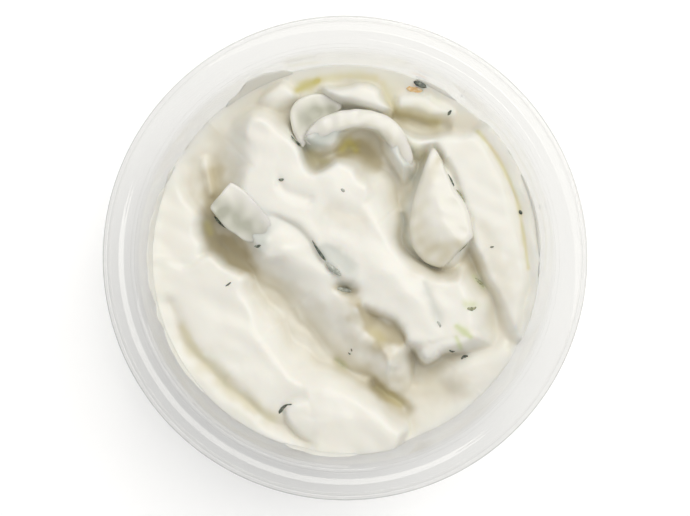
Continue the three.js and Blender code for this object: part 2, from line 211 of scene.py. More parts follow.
def soft_max(a: Array, b: Array, blend: float) -> Array:
    """The greater of two surfaces, with a fillet where they cross."""
    near = np.maximum(blend - np.abs(a - b), 0) / blend
    return np.maximum(a, b) + near * near * blend / 4


def blurred(grid: Array, cells: float) -> Array:
    """A two-way Gaussian average over a grid, with its edge rows repeated outward.

    Args:
        grid: values in rows and columns.
        cells: spread in grid cells.

    Returns:
        The averaged grid.
    """
    reach = max(1, int(3 * cells + 0.5))
    kernel = np.exp(-0.5 * (np.arange(-reach, reach + 1) / cells) ** 2)
    kernel /= kernel.sum()
    for axis in (0, 1):
        pad = [(reach, reach) if i == axis else (0, 0) for i in (0, 1)]
        wide = np.pad(grid, pad, mode="edge")
        size = grid.shape[axis]
        grid = sum(
            k * np.take(wide, np.arange(i, i + size), axis=axis) for i, k in enumerate(kernel)
        )
    return grid


# ---- meshes ----------------------------------------------------------------------------------


def make_mesh(
    name: str,
    points: Array,
    faces: Array,
    material: bpy.types.Material,
    tint: Optional[Array] = None,
) -> bpy.types.Object:
    """A smooth mesh object from whole arrays.

    Args:
        name: name of the piece.
        points: vertex places in mm, one row each.
        faces: rows of three or four vertex numbers; a triangle repeats none of them.
        material: its finish.
        tint: optional rows of four values per vertex, kept as the attribute "tint".

    Returns:
        The object, linked to the scene.
    """
    mesh = bpy.data.meshes.new(name)
    mesh.vertices.add(len(points))
    mesh.vertices.foreach_set("co", (points * MM).astype(np.float32).ravel())
    if faces.shape[1] == 4:
        merged = faces[:, 2] == faces[:, 3]
        sizes = np.where(merged, 3, 4)
        kept = np.tile([True, True, True, False], len(faces)) | np.repeat(~merged, 4)
        loops = faces.ravel()[kept]
    else:
        sizes = np.full(len(faces), 3)
        loops = faces.ravel()
    mesh.loops.add(len(loops))
    mesh.loops.foreach_set("vertex_index", loops.astype(np.int32))
    mesh.polygons.add(len(faces))
    starts = np.concatenate([[0], np.cumsum(sizes)[:-1]])
    mesh.polygons.foreach_set("loop_start", starts.astype(np.int32))
    mesh.update(calc_edges=True)
    mesh.validate()
    mesh.polygons.foreach_set("use_smooth", np.ones(len(mesh.polygons), bool))
    if tint is not None:
        layer = mesh.color_attributes.new("tint", "FLOAT_COLOR", "POINT")
        layer.data.foreach_set("color", tint.astype(np.float32).ravel())
    mesh.materials.append(material)
    made = bpy.data.objects.new(name, mesh)
    bpy.context.scene.collection.objects.link(made)
    return made


def turned_over(faces: Array) -> Array:
    """Faces facing the other way, triangles keeping their repeated last number."""
    triangle = (faces[:, 2] == faces[:, 3])[:, None]
    return np.where(triangle, faces[:, [1, 0, 2, 3]], faces[:, [3, 2, 1, 0]])


def bands(rings: int, count: int, first: int) -> Array:
    """Faces between closed rings that follow each other.

    Args:
        rings: how many rings.
        count: points in a ring.
        first: number of the first ring point.

    Returns:
        Rows of four vertex numbers.
    """
    low = first + count * np.arange(rings - 1)[:, None]
    here = np.arange(count)
    after = (here + 1) % count
    corners = [low + here, low + after, low + count + after, low + count + here]
    return np.stack(corners, 2).reshape(-1, 4)


def fan(count: int, ring: int, pole: int) -> Array:
    """Triangles from a closed ring to the pole that comes after it.

    Args:
        count: points in the ring.
        ring: number of its first point.
        pole: number of the pole.

    Returns:
        Rows of four vertex numbers that repeat their last one.
    """
    here, tip = np.arange(count), np.full(count, pole)
    return np.stack([ring + here, ring + (here + 1) % count, tip, tip], 1)


def ring_faces(rings: int, count: int, first: int, start: int, end: int) -> Array:
    """Faces of a body made of closed rings between two poles.

    Args:
        rings: how many rings.
        count: points in a ring.
        first: number of the first ring point.
        start: number of the pole before the first ring.
        end: number of the pole after the last ring.

    Returns:
        Rows of four vertex numbers; triangles repeat their last one.
    """
    before = turned_over(fan(count, first, start))
    beyond = fan(count, first + (rings - 1) * count, end)
    return np.vstack([bands(rings, count, first), before, beyond])


def circle(radius: Any, z: Any, angle: Array) -> Array:
    """Points round the Z axis.

    Args:
        radius: one radius, or one for each angle.
        z: one height, or one for each angle.
        angle: directions in radians.

    Returns:
        One row of x, y and z for each angle.
    """
    height = np.broadcast_to(z, angle.shape)
    return np.stack([radius * np.cos(angle), radius * np.sin(angle), height], 1)


def turned(section: Array, count: int) -> Tuple[Array, Array]:
    """A closed section turned about the Z axis.

    Args:
        section: rows of radius and height, going round the section; it starts and ends on the axis.
        count: steps round the axis.

    Returns:
        Points and faces of the closed body.
    """
    angle = 2 * np.pi * np.arange(count) / count
    middle = section[1:-1]
    rings = [circle(r, z, angle) for r, z in middle]
    poles = np.array([[0, 0, section[0, 1]], [0, 0, section[-1, 1]]])
    return np.vstack([poles, *rings]), ring_faces(len(middle), count, 2, 0, 1)


# ---- finishes --------------------------------------------------------------------------------


class Shader:
    """Node tree of one material, with one way to add a node."""

    def __init__(self, name: str) -> None:
        """Starts an empty material.

        Args:
            name: name of the material.
        """
        self.material = bpy.data.materials.new(name)
        self.material.use_nodes = True
        self.tree = self.material.node_tree
        self.tree.nodes.clear()
        self.output = self.add("ShaderNodeOutputMaterial")

    def add(
        self,
        kind: str,
        inputs: Optional[Dict[Any, Any]] = None,
        settings: Optional[Dict[str, Any]] = None,
    ) -> Node:
        """Adds a node.

        Args:
            kind: type name of the node.
            inputs: a value or a socket to link, by name or number of the input.
            settings: plain settings of the node.

        Returns:
            The node.
        """
        made = self.tree.nodes.new(kind)
        for key, value in (settings or {}).items():
            setattr(made, key, value)
        for key, value in (inputs or {}).items():
            if isinstance(value, Socket):
                self.tree.links.new(value, made.inputs[key])
            else:
                made.inputs[key].default_value = value
        return made

    def ramp(self, factor: Socket, low: float, high: float) -> Socket:
        """A factor stretched so that low gives nought and high gives one."""
        node = self.add(
            "ShaderNodeMapRange", {"Value": factor, "From Min": low, "From Max": high}
        )
        return node.outputs["Result"]

    def mix(self, factor: Any, first: Any, second: Any) -> Socket:
        """Two colours mixed: a factor of nought gives the first, one the second."""
        inputs = {0: factor, 6: first, 7: second}
        return self.add("ShaderNodeMix", inputs, {"data_type": "RGBA"}).outputs[2]

    def tint(self) -> Tuple[Node, Node]:
        """The vertex attribute "tint", whole and with its colour split in three."""
        whole = self.add("ShaderNodeVertexColor", settings={"layer_name": "tint"})
        return whole, self.add("ShaderNodeSeparateColor", {0: whole.outputs["Color"]})

    def noise(self, scale: float, detail: float = 2.0, roughness: float = 0.5) -> Socket:
        """Noise over the object's own coordinates.

        Args:
            scale: features per metre.
            detail: how many finer layers it has.
            roughness: how strong each finer layer is.

        Returns:
            A value from nought to one.
        """
        place = self.add("ShaderNodeTexCoord").outputs["Object"]
        inputs = {"Vector": place, "Scale": scale, "Detail": detail, "Roughness": roughness}
        return self.add("ShaderNodeTexNoise", inputs).outputs[0]

    def bump(self, height: Socket, depth: float) -> Socket:
        """A normal from a height between nought and one, that stands for depth metres."""
        inputs = {"Height": height, "Distance": depth, "Strength": 1.0}
        return self.add("ShaderNodeBump", inputs).outputs[0]

    def finish(self, surface: Socket) -> bpy.types.Material:
        """Links the surface to the output and gives the material."""
        self.tree.links.new(surface, self.output.inputs["Surface"])
        return self.material


@dataclass(frozen=True)
class ClearPolypropylene:
    """Thin clear polypropylene: colourless, glossy, so thin that it hardly bends the view.

    The body lets light straight through, and its clear coat gives the shine of the two faces.
    """

    color: str = "#ebebea"
    roughness: float = 0.03
    ior: float = 1.01
    shadow: str = "#f4f5f5"
    clear: float = 0.93
    coat: float = 0.8
    coat_ior: float = 1.49

    def build(self, name: str) -> bpy.types.Material:
        """Builds a clear shell that lets most light through its shadow.

        Args:
            name: name of the material.

        Returns:
            The material.
        """
        shader = Shader(name)
        body = shader.add(
            "ShaderNodeBsdfPrincipled",
            {
                "Base Color": linear(self.color),
                "Roughness": self.roughness,
                "IOR": self.ior,
                "Transmission Weight": self.clear,
                "Coat Weight": self.coat,
                "Coat Roughness": self.roughness,
                "Coat IOR": self.coat_ior,
            },
        )
        thin = shader.add("ShaderNodeBsdfTransparent", {"Color": linear(self.shadow)})
        path = shader.add("ShaderNodeLightPath").outputs["Is Shadow Ray"]
        both = shader.add(
            "ShaderNodeMixShader", {0: path, 1: body.outputs[0], 2: thin.outputs[0]}
        )
        return shader.finish(both.outputs[0])


@dataclass(frozen=True)
class StrainedYoghurt:
    """Strained yoghurt dip: thick, warm white, wet and satin, with oil in places and painted shade,
    a khaki colour, in its folds and pockets.
    """

    white: str = "#f3f1e8"
    # painted shade: khaki mixed into the white where the dip lies in shade
    painted_shade: str = "#c8bea1"
    oil: str = "#d9d08c"
    green: str = "#d5dcae"
    cucumber: str = "#c9cdc4"
    roughness: float = 0.42
    grain_mm: float = 1.2
    grain_depth_mm: float = 0.012

    def build(self, name: str) -> bpy.types.Material:
        """Builds the finish; "tint" holds shares of painted shade, oil, green and cucumber.

        Args:
            name: name of the material.

        Returns:
            The material.
        """
        shader = Shader(name)
        tint, share = shader.tint()
        # the first share of the tint mixes in the painted shade
        color = shader.mix(share.outputs[0], linear(self.white), linear(self.painted_shade))
        color = shader.mix(share.outputs[2], color, linear(self.green))
        color = shader.mix(tint.outputs["Alpha"], color, linear(self.cucumber))
        color = shader.mix(share.outputs[1], color, linear(self.oil))
        grain = shader.noise(1 / (self.grain_mm * MM), 3.0, 0.55)
        body = shader.add(
            "ShaderNodeBsdfPrincipled",
            {
                "Base Color": color,
                "Roughness": self.roughness,
                "IOR": 1.4,
                "Subsurface Weight": 0.4,
                "Subsurface Radius": (1.0, 0.8, 0.6),
                "Subsurface Scale": 0.003,
                "Coat Weight": 0.15,
                "Coat Roughness": 0.15,
                "Normal": shader.bump(grain, self.grain_depth_mm * MM),
            },
        )
        return shader.finish(body.outputs[0])


@dataclass(frozen=True)
class CoatedCucumber:
    """Peeled cucumber flesh, grey-green and wet, yellower by the seeds, thinly coated in dip."""

    flesh: str = "#bfbfaf"
    seeds: str = "#cfc39f"
    coat: str = "#f0eee5"
    roughness: float = 0.3
    grain_mm: float = 2.0
    grain_depth_mm: float = 0.008

    def build(self, name: str) -> bpy.types.Material:
        """Builds the finish; "tint" holds how bare the flesh is, then how near the seeds.

        Args:
            name: name of the material.

        Returns:
            The material.
        """
        shader = Shader(name)
        _, share = shader.tint()
        flesh = shader.mix(share.outputs[1], linear(self.flesh), linear(self.seeds))
        color = shader.mix(share.outputs[0], linear(self.coat), flesh)
        grain = shader.noise(1 / (self.grain_mm * MM), 1.0)
        body = shader.add(
            "ShaderNodeBsdfPrincipled",
            {
                "Base Color": color,
                "Roughness": self.roughness,
                "IOR": 1.36,
                "Subsurface Weight": 0.45,
                "Subsurface Radius": (0.9, 1.0, 0.7),
                "Subsurface Scale": 0.003,
                "Coat Weight": 0.25,
                "Coat Roughness": 0.12,
                "Normal": shader.bump(grain, self.grain_depth_mm * MM),
            },
        )
        return shader.finish(body.outputs[0])


@dataclass(frozen=True)
class MottledSkin:
    """Cucumber skin, chopped herb or a drop of coloured oil: wet, in spots of two shades."""

    dark: str = "#39443a"
    light: str = "#8b957f"
    roughness: float = 0.35
    spots_per_metre: float = 1500.0
    spot_edge: Tuple[float, float] = (0.42, 0.68)

    def build(self, name: str) -> bpy.types.Material:
        """Builds the finish, with spots under a millimetre across.

        Args:
            name: name of the material.

        Returns:
            The material.
        """
        shader = Shader(name)
        patch = shader.ramp(shader.noise(self.spots_per_metre), *self.spot_edge)
        color = shader.mix(patch, linear(self.dark), linear(self.light))
        body = shader.add(
            "ShaderNodeBsdfPrincipled",
            {"Base Color": color, "Roughness": self.roughness, "Coat Weight": 0.3},
        )
        return shader.finish(body.outputs[0])


@dataclass(frozen=True)
class PaintedFloor:
    """Matte white board, lit a little from below: bright and even."""

    color: str = "#fbfbfb"
    glow: float = 0.18

    def build(self, name: str) -> bpy.types.Material:
        """Builds the finish.

        Args:
            name: name of the material.

        Returns:
            The material.
        """
        shader = Shader(name)
        body = shader.add(
            "ShaderNodeBsdfPrincipled",
            {
                "Base Color": linear(self.color),
                "Roughness": 0.8,
                "Emission Color": linear("#ffffff"),
                "Emission Strength": self.glow,
            },
        )
        return shader.finish(body.outputs[0])


# ---- tub -------------------------------------------------------------------------------------


@dataclass(frozen=True)
class CupShape:
    """Section of the tub's floor, wall and rim; the heights and radii are those of the CAD part."""

    rim_radius: float
    height: float
    wall: float = 0.8
    draft: float = math.radians(9)
    foot_inner_radius: float = 29.3
    floor_raise: float = 1.0
    floor_step: float = 0.9
    corner_radius: float = 2.6
    wall_top_radius: float = 40.6
    wall_top_z: float = 47.2
    seat_radius: float = 41.4
    seat_rise: float = 0.25
    flange_inner_z: float = 48.4
    lip_inner_radius: float = 46.2
    step_start: float = 43.2
    step_end: float = 44.7
    step_rise: float = 0.28
    bead_radius: float = 0.65
    skirt_bottom_z: float = 46.5

    def wall_radius(self, z: Any) -> Any:
        """Inside radius of the wall at a height."""
        return self.wall_top_radius - (self.wall_top_z - z) * math.tan(self.draft)

    def flange_z(self, r: Any) -> Any:
        """Height of the flange at a radius: flat, with one soft step up."""
        t = np.clip((r - self.step_start) / (self.step_end - self.step_start), 0, 1)
        return self.flange_inner_z + self.step_rise * t * t * (3 - 2 * t)

    def cup(self, offset: float, top_z: float, steps: int = 10) -> List[Tuple[float, float]]:
        """Section of floor and wall, from the axis out and up.

        Args:
            offset: distance outward from the inner face; negative lies inside.
            top_z: where the wall stops.
            steps: points round the corner.

        Returns:
            Pairs of radius and height.
        """
        corner_z = self.wall + self.corner_radius
        slant = self.corner_radius / math.cos(self.draft)
        corner_r = self.wall_radius(corner_z) - slant
        floor = self.wall - offset
        step = self.foot_inner_radius - offset * 0.5
        points = [
            (0.0, floor + self.floor_raise),
            (step - self.floor_step, floor + self.floor_raise),
            (step, floor),
        ]
        for i in range(steps + 1):
            a = math.radians(-90) + (math.radians(90) - self.draft) * i / steps
            reach = self.corner_radius + offset
            points.append((corner_r + reach * math.cos(a), corner_z + reach * math.sin(a)))
        points.append((self.wall_radius(top_z) + offset / math.cos(self.draft), top_z))
        return points


def rounded(points: Sequence[Tuple[float, float]], radius: float, steps: int) -> Array:
    """A section with every corner cut back by a small arc.

    Args:
        points: corners of the section; the first and last stay.
        radius: how far each corner is cut back along its sides.
        steps: pieces of each arc.

    Returns:
        Rows of radius and height.
    """
    p = np.array(points, float)
    out = [p[0]]
    for before, corner, after in zip(p[:-2], p[1:-1], p[2:]):
        a, b = before - corner, after - corner
        cut = min(radius, 0.4 * np.hypot(*a), 0.4 * np.hypot(*b))
        start, end = corner + a / np.hypot(*a) * cut, corner + b / np.hypot(*b) * cut
        for i in range(steps + 1):
            t = i / steps
            out.append((1 - t) ** 2 * start + 2 * t * (1 - t) * corner + t * t * end)
    out.append(p[-1])
    return np.array(out)


@dataclass
class Tub:
    """The clear tub: foot ring, drafted wall, lid seat, stepped flange and rolled lip."""

    shape: CupShape
    steps: int = 288
    finish: ClearPolypropylene = field(default_factory=ClearPolypropylene)

    def section(self) -> Array:
        """The whole section, from the outside of the floor over the rim to the inside.

        Returns:
            Rows of radius and height.
        """
        s = self.shape
        outer = s.cup(s.wall, s.wall_top_z - s.wall)
        under = [
            (s.seat_radius + s.wall, s.wall_top_z + s.seat_rise - s.wall),
            (s.seat_radius + s.wall, s.flange_z(s.seat_radius) - s.wall),
        ]
        step = np.linspace(s.step_start, s.step_end, 13)
        flange = [s.seat_radius, *step, s.lip_inner_radius]
        under += [(r, s.flange_z(r) - s.wall) for r in flange[1:-1]]
        under += [
            (s.rim_radius - s.wall, s.flange_z(s.lip_inner_radius) - s.wall),
            (s.rim_radius - s.wall, s.skirt_bottom_z),
            (s.rim_radius, s.skirt_bottom_z),
        ]
        bead_r, bead_z = s.rim_radius - s.bead_radius, s.height - s.bead_radius
        bead = [
            (bead_r + s.bead_radius * math.cos(a), bead_z + s.bead_radius * math.sin(a))
            for a in np.radians(np.linspace(0, 150, 9))
        ]
        top = [(r, s.flange_z(r)) for r in flange[::-1]]
        seat = [(s.seat_radius - 0.05, s.wall_top_z + s.seat_rise)]
        inner = s.cup(0, s.wall_top_z)[::-1]
        return rounded([*outer, *under, *bead, *top, *seat, *inner], 0.18, 3)

    def build(self) -> bpy.types.Object:
        """Builds the tub and lets it stand for the CAD node.

        Returns:
            The object.
        """
        points, faces = turned(self.section(), self.steps)
        made = make_mesh("tub_clear", points, faces, self.finish.build("clear polypropylene"))
        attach(made, "root")
        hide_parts("tub")
        return made


# ---- the dip ---------------------------------------------------------------------------------


FALL_MM = 1.5  # outside its outline a fold sinks by its own height over this distance


@dataclass(frozen=True)
class Mass:
    """A fold of dip inside an outline.

    top is a plane: height at x, y, then its slopes. foot is the height at the outline, power how
    bluntly the side rolls off, and each station of the line gives x, y and the roll-off's width.
    """

    top: Tuple[float, float, float, float, float]
    foot: float
    power: float
    blend: float
    line: Sequence[Station]

    def over(self, z: Array, x: Array, y: Array) -> Array:
        """The surface with this fold laid over it.

        Args:
            z: heights so far.
            x: places along X.
            y: places along Y.

        Returns:
            New heights: foot + (top - foot) (u (2 - u))^power, u the share of the width reached.
        """
        line = smooth_line(self.line, closed=True)
        near = near_line(line, x, y)
        width = np.interp(near.place, np.arange(len(line)), line[:, 2])
        u = np.clip(near.distance / width, 0, 1)
        share = (u * (2 - u)) ** self.power
        share = np.where(inside(line, x, y), share, -near.distance / FALL_MM)
        z0, x0, y0, slope_x, slope_y = self.top
        top = z0 + slope_x * (x - x0) + slope_y * (y - y0)
        return soft_max(z, self.foot + (top - self.foot) * share, self.blend)


@dataclass(frozen=True)
class Lip:
    """An edge where a fold hangs over a sunken place.

    rise is height and reach on the left of the line, drop on its right, and hang how far the edge
    leans out over the right side. Rise and drop fade as e to the minus distance over reach, and
    one passes into the other over the width of the lip, by a hyperbolic tangent.
    """

    rise: Tuple[float, float]
    drop: Tuple[float, float]
    hang: float
    line: Sequence[Station]


@dataclass(frozen=True)
class Crease:
    """A groove along a line: its depth times the bell e^-(distance / width)^2."""

    width: float
    depth: float
    line: Sequence[Station]


class Share(Enum):
    """Which share of the dip's tint a patch adds to."""

    # painted shade: the khaki share laid where the dip lies in shade
    PAINTED_SHADE = 0
    OIL = 1
    GREEN = 2
    CUCUMBER = 3


@dataclass(frozen=True)
class Patch:
    """A tinted stroke on the dip: each station gives x, y and half width.

    The tint is the strength times e^-(distance / half width)^sharp.
    """

    share: Share
    strength: float
    line: Sequence[Station]
    sharp: float = 2.0


@dataclass
class DipSurface:
    """The dip: a spooned top made of folds, lips, hollows and creases, and sides that fill the tub.

    Each bump is x, y, rise, half length, half width and turn in degrees; it adds its rise times
    e^-(bump_fall (along^2 + across^2)), with both distances as shares of the half sizes. drift,
    grain and ragged are layers of unevenness, as depth and wavelength: of the places, of the top
    and of the tints. The edge of a lip leans most at lean_middle from its line.
    """

    shape: CupShape
    masses: Sequence[Mass]
    lips: Sequence[Lip]
    bumps: Sequence[Station]
    creases: Sequence[Crease]
    patches: Sequence[Patch]
    cells: int = 268
    reach: float = 0.12
    valley_z: float = 32.2
    shore_rise: float = 3.2
    blur_mm: float = 0.38
    bump_fall: float = 1.5
    lip_width: float = 0.35
    lean_middle: float = 0.3
    lean_width: float = 1.1
    drift: Sequence[Tuple[float, float]] = ((0.28, 8.0), (0.04, 3.0))
    grain: Sequence[Tuple[float, float]] = ((0.04, 5.0), (0.006, 1.8))
    ragged: Sequence[Tuple[float, float]] = ((0.2, 4.5), (0.05, 1.8))
    finish: StrainedYoghurt = field(default_factory=StrainedYoghurt)
    points: Array = field(init=False)
    rim: Array = field(init=False)

    def height(self, x: Array, y: Array) -> Array:
        """Height of the top before it is softened.

        The places are first moved a little by smooth waves, so that no outline is regular.

        Args:
            x: places along X.
            y: places along Y.

        Returns:
            Heights in mm.
        """
        wx = x + uneven_by(self.drift, x, y, 11)
        wy = y + uneven_by(self.drift, x, y, 13)
        out = np.hypot(x, y) / self.shape.wall_radius(self.valley_z)
        z = self.valley_z + self.shore_rise * out**8
        for mass in self.masses:
            z = mass.over(z, wx, wy)
        for cx, cy, rise, long, broad, turn in self.bumps:
            a = math.radians(turn)
            along = ((wx - cx) * math.cos(a) + (wy - cy) * math.sin(a)) / long
            across = ((wy - cy) * math.cos(a) - (wx - cx) * math.sin(a)) / broad
            z = z + rise * np.exp(-self.bump_fall * (along**2 + across**2))
        for crease in self.creases:
            near = near_line(smooth_line(crease.line), wx, wy)
            z = z - crease.depth * np.exp(-((near.distance / crease.width) ** 2))
        for lip in self.lips:
            line = smooth_line(lip.line)
            near = near_line(line, x, y)
            signed = near.distance * near.side
            up = lip.rise[0] * np.exp(-np.maximum(signed, 0) / lip.rise[1])
            down = -lip.drop[0] * np.exp(np.minimum(signed, 0) / lip.drop[1])
            share = 0.5 + 0.5 * np.tanh(signed / self.lip_width)
            z = z + near.taper(len(line)) * (share * up + (1 - share) * down)
        return z + uneven_by(self.grain, x, y, 21)

    def disc(self) -> Tuple[Array, Array]:
        """A square grid laid on the unit disc, each square ring becoming a circle.

        Returns:
            Places along X and along Y, as grids.
        """
        steps = np.linspace(-1, 1, self.cells + 1)
        a, b = np.meshgrid(steps, steps, indexing="ij")
        wide = np.abs(a) > np.abs(b)
        radius = np.where(wide, a, b)
        safe = np.where(np.abs(radius) < 1e-12, 1.0, radius)
        angle = np.where(wide, np.pi / 4 * b / safe, np.pi / 2 - np.pi / 4 * a / safe)
        return radius * np.cos(angle), radius * np.sin(angle)

    def shift(self, x: Array, y: Array) -> Tuple[Array, Array]:
        """How far the edges of lips lean sideways over their hollows.

        Args:
            x: places along X.
            y: places along Y.

        Returns:
            The moves along X and along Y.
        """
        move_x, move_y = np.zeros_like(x), np.zeros_like(y)
        for lip in self.lips:
            line = smooth_line(lip.line)
            near = near_line(line, x, y)
            off = (near.distance * near.side - self.lean_middle) / self.lean_width
            lean = lip.hang * near.taper(len(line)) * np.exp(-(off**2))
            move_x -= near.normal_x * lean
            move_y -= near.normal_y * lean
        return move_x, move_y

    def tint(self, x: Array, y: Array, z: Array, cell: float) -> Array:
        """Shares of painted shade, oil, green and cucumber at every grid point.

        Shade is painted where a place lies under the average of the 3 mm round it, and a
        little where it lies under 34.6 mm. The patches add to that.

        Args:
            x: places along X.
            y: places along Y.
            z: heights.
            cell: size of a grid cell.

        Returns:
            A grid of four values.
        """
        shares = np.zeros((*x.shape, 4))
        # painted shade: darker where lower than the 3 mm round it, and a little where low down
        painted_sunk_shade = np.clip((blurred(z, 3.0 / cell) - z - 0.15) / 2.2, 0, 1)
        painted_low_shade = np.clip((34.6 - z) / 3.0, 0, 1)
        shares[..., Share.PAINTED_SHADE.value] = 0.4 * painted_sunk_shade + 0.15 * painted_low_shade
        ragged = 1 + uneven_by(self.ragged, x, y, 31)
        for patch in self.patches:
            line = smooth_line(patch.line)
            near = near_line(line, x, y)
            width = np.interp(near.place, np.arange(len(line)), line[:, 2]) * ragged
            far = near.distance / np.maximum(width, 0.2)
            shares[..., patch.share.value] += patch.strength * np.exp(-(far**patch.sharp))
        return np.clip(shares, 0, 1)

    def top(self) -> Tuple[Array, Array]:
        """The top of the dip, which meets the wall all round.

        Returns:
            A grid of places in mm and a grid of tints.
        """
        ux, uy = self.disc()
        out = np.hypot(ux, uy)
        edge = self.shape.wall_radius(self.valley_z + self.shore_rise)
        wall = self.shape.wall_radius(self.height(ux * edge, uy * edge)) + self.reach
        radius = edge * (1 - out**6) + wall * out**6
        x, y = ux * radius, uy * radius
        cell = 2 * edge / self.cells
        z = blurred(self.height(x, y), self.blur_mm / cell)
        z = np.minimum(z, self.shape.wall_top_z - 2)
        shares = self.tint(x, y, z, cell)
        free = np.clip((1 - out) / 0.03, 0, 1)
        move_x, move_y = self.shift(x, y)
        x, y = x + move_x * free, y + move_y * free
        fit = (self.shape.wall_radius(z) + self.reach) / np.maximum(np.hypot(x, y), 1e-9)
        fit = np.where(out > 1 - 1e-9, fit, 1.0)
        return np.stack([x * fit, y * fit, z], 2), shares

    def build(self) -> bpy.types.Object:
        """Builds the dip as one closed body and lets it stand for the CAD node.

        Returns:
            The object.
        """
        top, shares = self.top()
        self.points = top.reshape(-1, 3)
        first = len(self.points)
        number = np.arange(first).reshape(top.shape[:2])
        corners = [number[:-1, :-1], number[1:, :-1], number[1:, 1:], number[:-1, 1:]]
        quads = np.stack(corners, 2).reshape(-1, 4)
        near_side, far_side = number[:, 0], number[-2::-1, -1]
        loop = np.concatenate([near_side, number[-1, 1:], far_side, number[0, -2:0:-1]])
        self.rim = self.points[loop]
        skirt, rings = self.sides(self.rim)
        points = np.vstack([self.points, skirt])
        count = len(loop)
        here = np.arange(count)
        after = (here + 1) % count
        join = np.stack([loop[after], loop[here], first + here, first + after], 1)
        under = bands(rings, count, first)
        bottom = fan(count, first + (rings - 1) * count, len(points) - 1)
        faces = np.vstack([quads, join, turned_over(np.vstack([under, bottom]))])
        tint = np.zeros((len(points), 4))
        tint[:first] = shares.reshape(-1, 4)
        finish = self.finish.build("strained yoghurt")
        made = make_mesh("dip_spooned", points, faces, finish, tint)
        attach(made, "root")
        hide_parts("dip")
        return made

    def sides(self, rim: Array) -> Tuple[Array, int]:
        """Rings from the rim of the top down the wall and over the floor, then one last pole.

        Args:
            rim: points round the top's edge.

        Returns:
            Points, and how many rings they hold.
        """
        s = self.shape
        section = s.cup(self.reach, s.wall_top_z)[:-1]
        angle = np.arctan2(rim[:, 1], rim[:, 0])
        corner_z = section[-1][1]
        rings = []
        for t in (0.2, 0.4, 0.6, 0.8):
            z = rim[:, 2] * (1 - t) + corner_z * t
            rings.append(circle(s.wall_radius(z) + self.reach, z, angle))
        rings += [circle(r, z, angle) for r, z in section[:0:-2]]
        pole = np.array([[0.0, 0.0, section[0][1]]])
        return np.vstack([*rings, pole]), len(rings)

    def height_at(self, x: float, y: float) -> float:
        """Height of the point of the top that is nearest in plan."""
        gap = (self.points[:, 0] - x) ** 2 + (self.points[:, 1] - y) ** 2
        return float(self.points[np.argmin(gap), 2])


@dataclass
class WallSmears:
    """Dip left on the wall over the level of the rest, where the spoon touched it.

    Each smear is its direction in degrees, half width in degrees and height. hidden is how far
    the edge lies under the dip between smears, and root how far under it they all reach.
    """

    shape: CupShape
    smears: Sequence[Station]
    thick: float = 0.3
    reach: float = 0.1
    steps: int = 540
    levels: int = 7
    hidden: float = 0.5
    root: float = 1.8
    ripple: float = 0.12

    def edge(self, angle: Array, level: Array) -> Array:
        """Upper edge of the smears, which between them stays hidden in the dip.

        Args:
            angle: directions in radians.
            level: height of the dip at the wall in each direction.

        Returns:
            Heights in mm.
        """
        radius = 38.0
        ripple = waves(np.cos(angle) * radius, np.sin(angle) * radius, 6.0, 51)
        top = level - self.hidden + self.ripple * ripple
        for turn, width, height in self.smears:
            off = (np.degrees(angle) - turn + 180) % 360 - 180
            ragged = 1 + self.ripple * waves(off * 0.6, off * 0, 5.0, 52)
            top = top + height * np.exp(-np.abs(off * ragged / width) ** 3)
        return np.minimum(top, self.shape.wall_top_z - 0.4)

    def build(self, rim: Array, finish: bpy.types.Material) -> bpy.types.Object:
        """Builds them as one closed ring of varying height.

        Args:
            rim: points round the top edge of the dip.
            finish: the finish of the dip.

        Returns:
            The object.
        """
        angle = 2 * np.pi * np.arange(self.steps) / self.steps
        around = np.arctan2(rim[:, 1], rim[:, 0])
        order = np.argsort(around)
        level = np.interp(angle, around[order], rim[order, 2], period=2 * np.pi)
        top, low = self.edge(angle, level), level - self.root
        rings = []
        for t in np.linspace(0, 1, self.levels):
            z = low + (top - low) * t
            thick = self.thick * math.sqrt(1 - 0.96 * t**4)
            rings.append(circle(self.shape.wall_radius(z) - thick, z, angle))
        for t in np.linspace(1, 0, self.levels):
            z = low + (top - low) * t
            rings.append(circle(self.shape.wall_radius(z) + self.reach, z, angle))
        points = np.vstack(rings)
        faces = bands(len(rings) + 1, self.steps, 0) % len(points)
        # a slight painted shade: the first tint share at 0.06 on every smear
        tint = np.tile([0.06, 0.0, 0.0, 0.0], (len(points), 1))
        made = make_mesh("wall_smears", points, turned_over(faces), finish, tint)
        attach(made, "root")
        return made


# ---- cucumber and herbs ----------------------------------------------------------------------


def swept(line: Array, boxy: float, roll: float, around: int = 36) -> Tuple[Array, Array]:
    """A bar along a line, with superelliptic sections and rounded ends.

    Args:
        line: rows of x, y, z, half width and half depth.
        boxy: power of the sections; 2 is an ellipse and more is squarer.
        roll: turn of the sections about the line, in degrees.
        around: points round a section.

    Returns:
        Points and faces of the closed body.
    """
    centre, half = line[:, :3], line[:, 3:5]
    along = np.gradient(centre, axis=0)
    along /= np.linalg.norm(along, axis=1)[:, None]
    side = np.cross(along, [0.0, 0.0, 1.0])
    side /= np.linalg.norm(side, axis=1)[:, None]
    up = np.cross(side, along)
    a = 2 * np.pi * np.arange(around) / around
    c, s = np.cos(a), np.sin(a)
    u = np.sign(c) * np.abs(c) ** (2 / boxy)
    v = np.sign(s) * np.abs(s) ** (2 / boxy)
    turn = math.radians(roll)
    across = side * math.cos(turn) + up * math.sin(turn)
    over = up * math.cos(turn) - side * math.sin(turn)
    ring = (
        centre[:, None]
        + across[:, None] * (half[:, :1] * u)[..., None]
        + over[:, None] * (half[:, 1:] * v)[..., None]
    )
    poles = np.stack([centre[0] - along[0] * 0.02, centre[-1] + along[-1] * 0.02])
    faces = ring_faces(len(line), around, 2, 0, 1)
    return np.vstack([poles, ring.reshape(-1, 3)]), faces


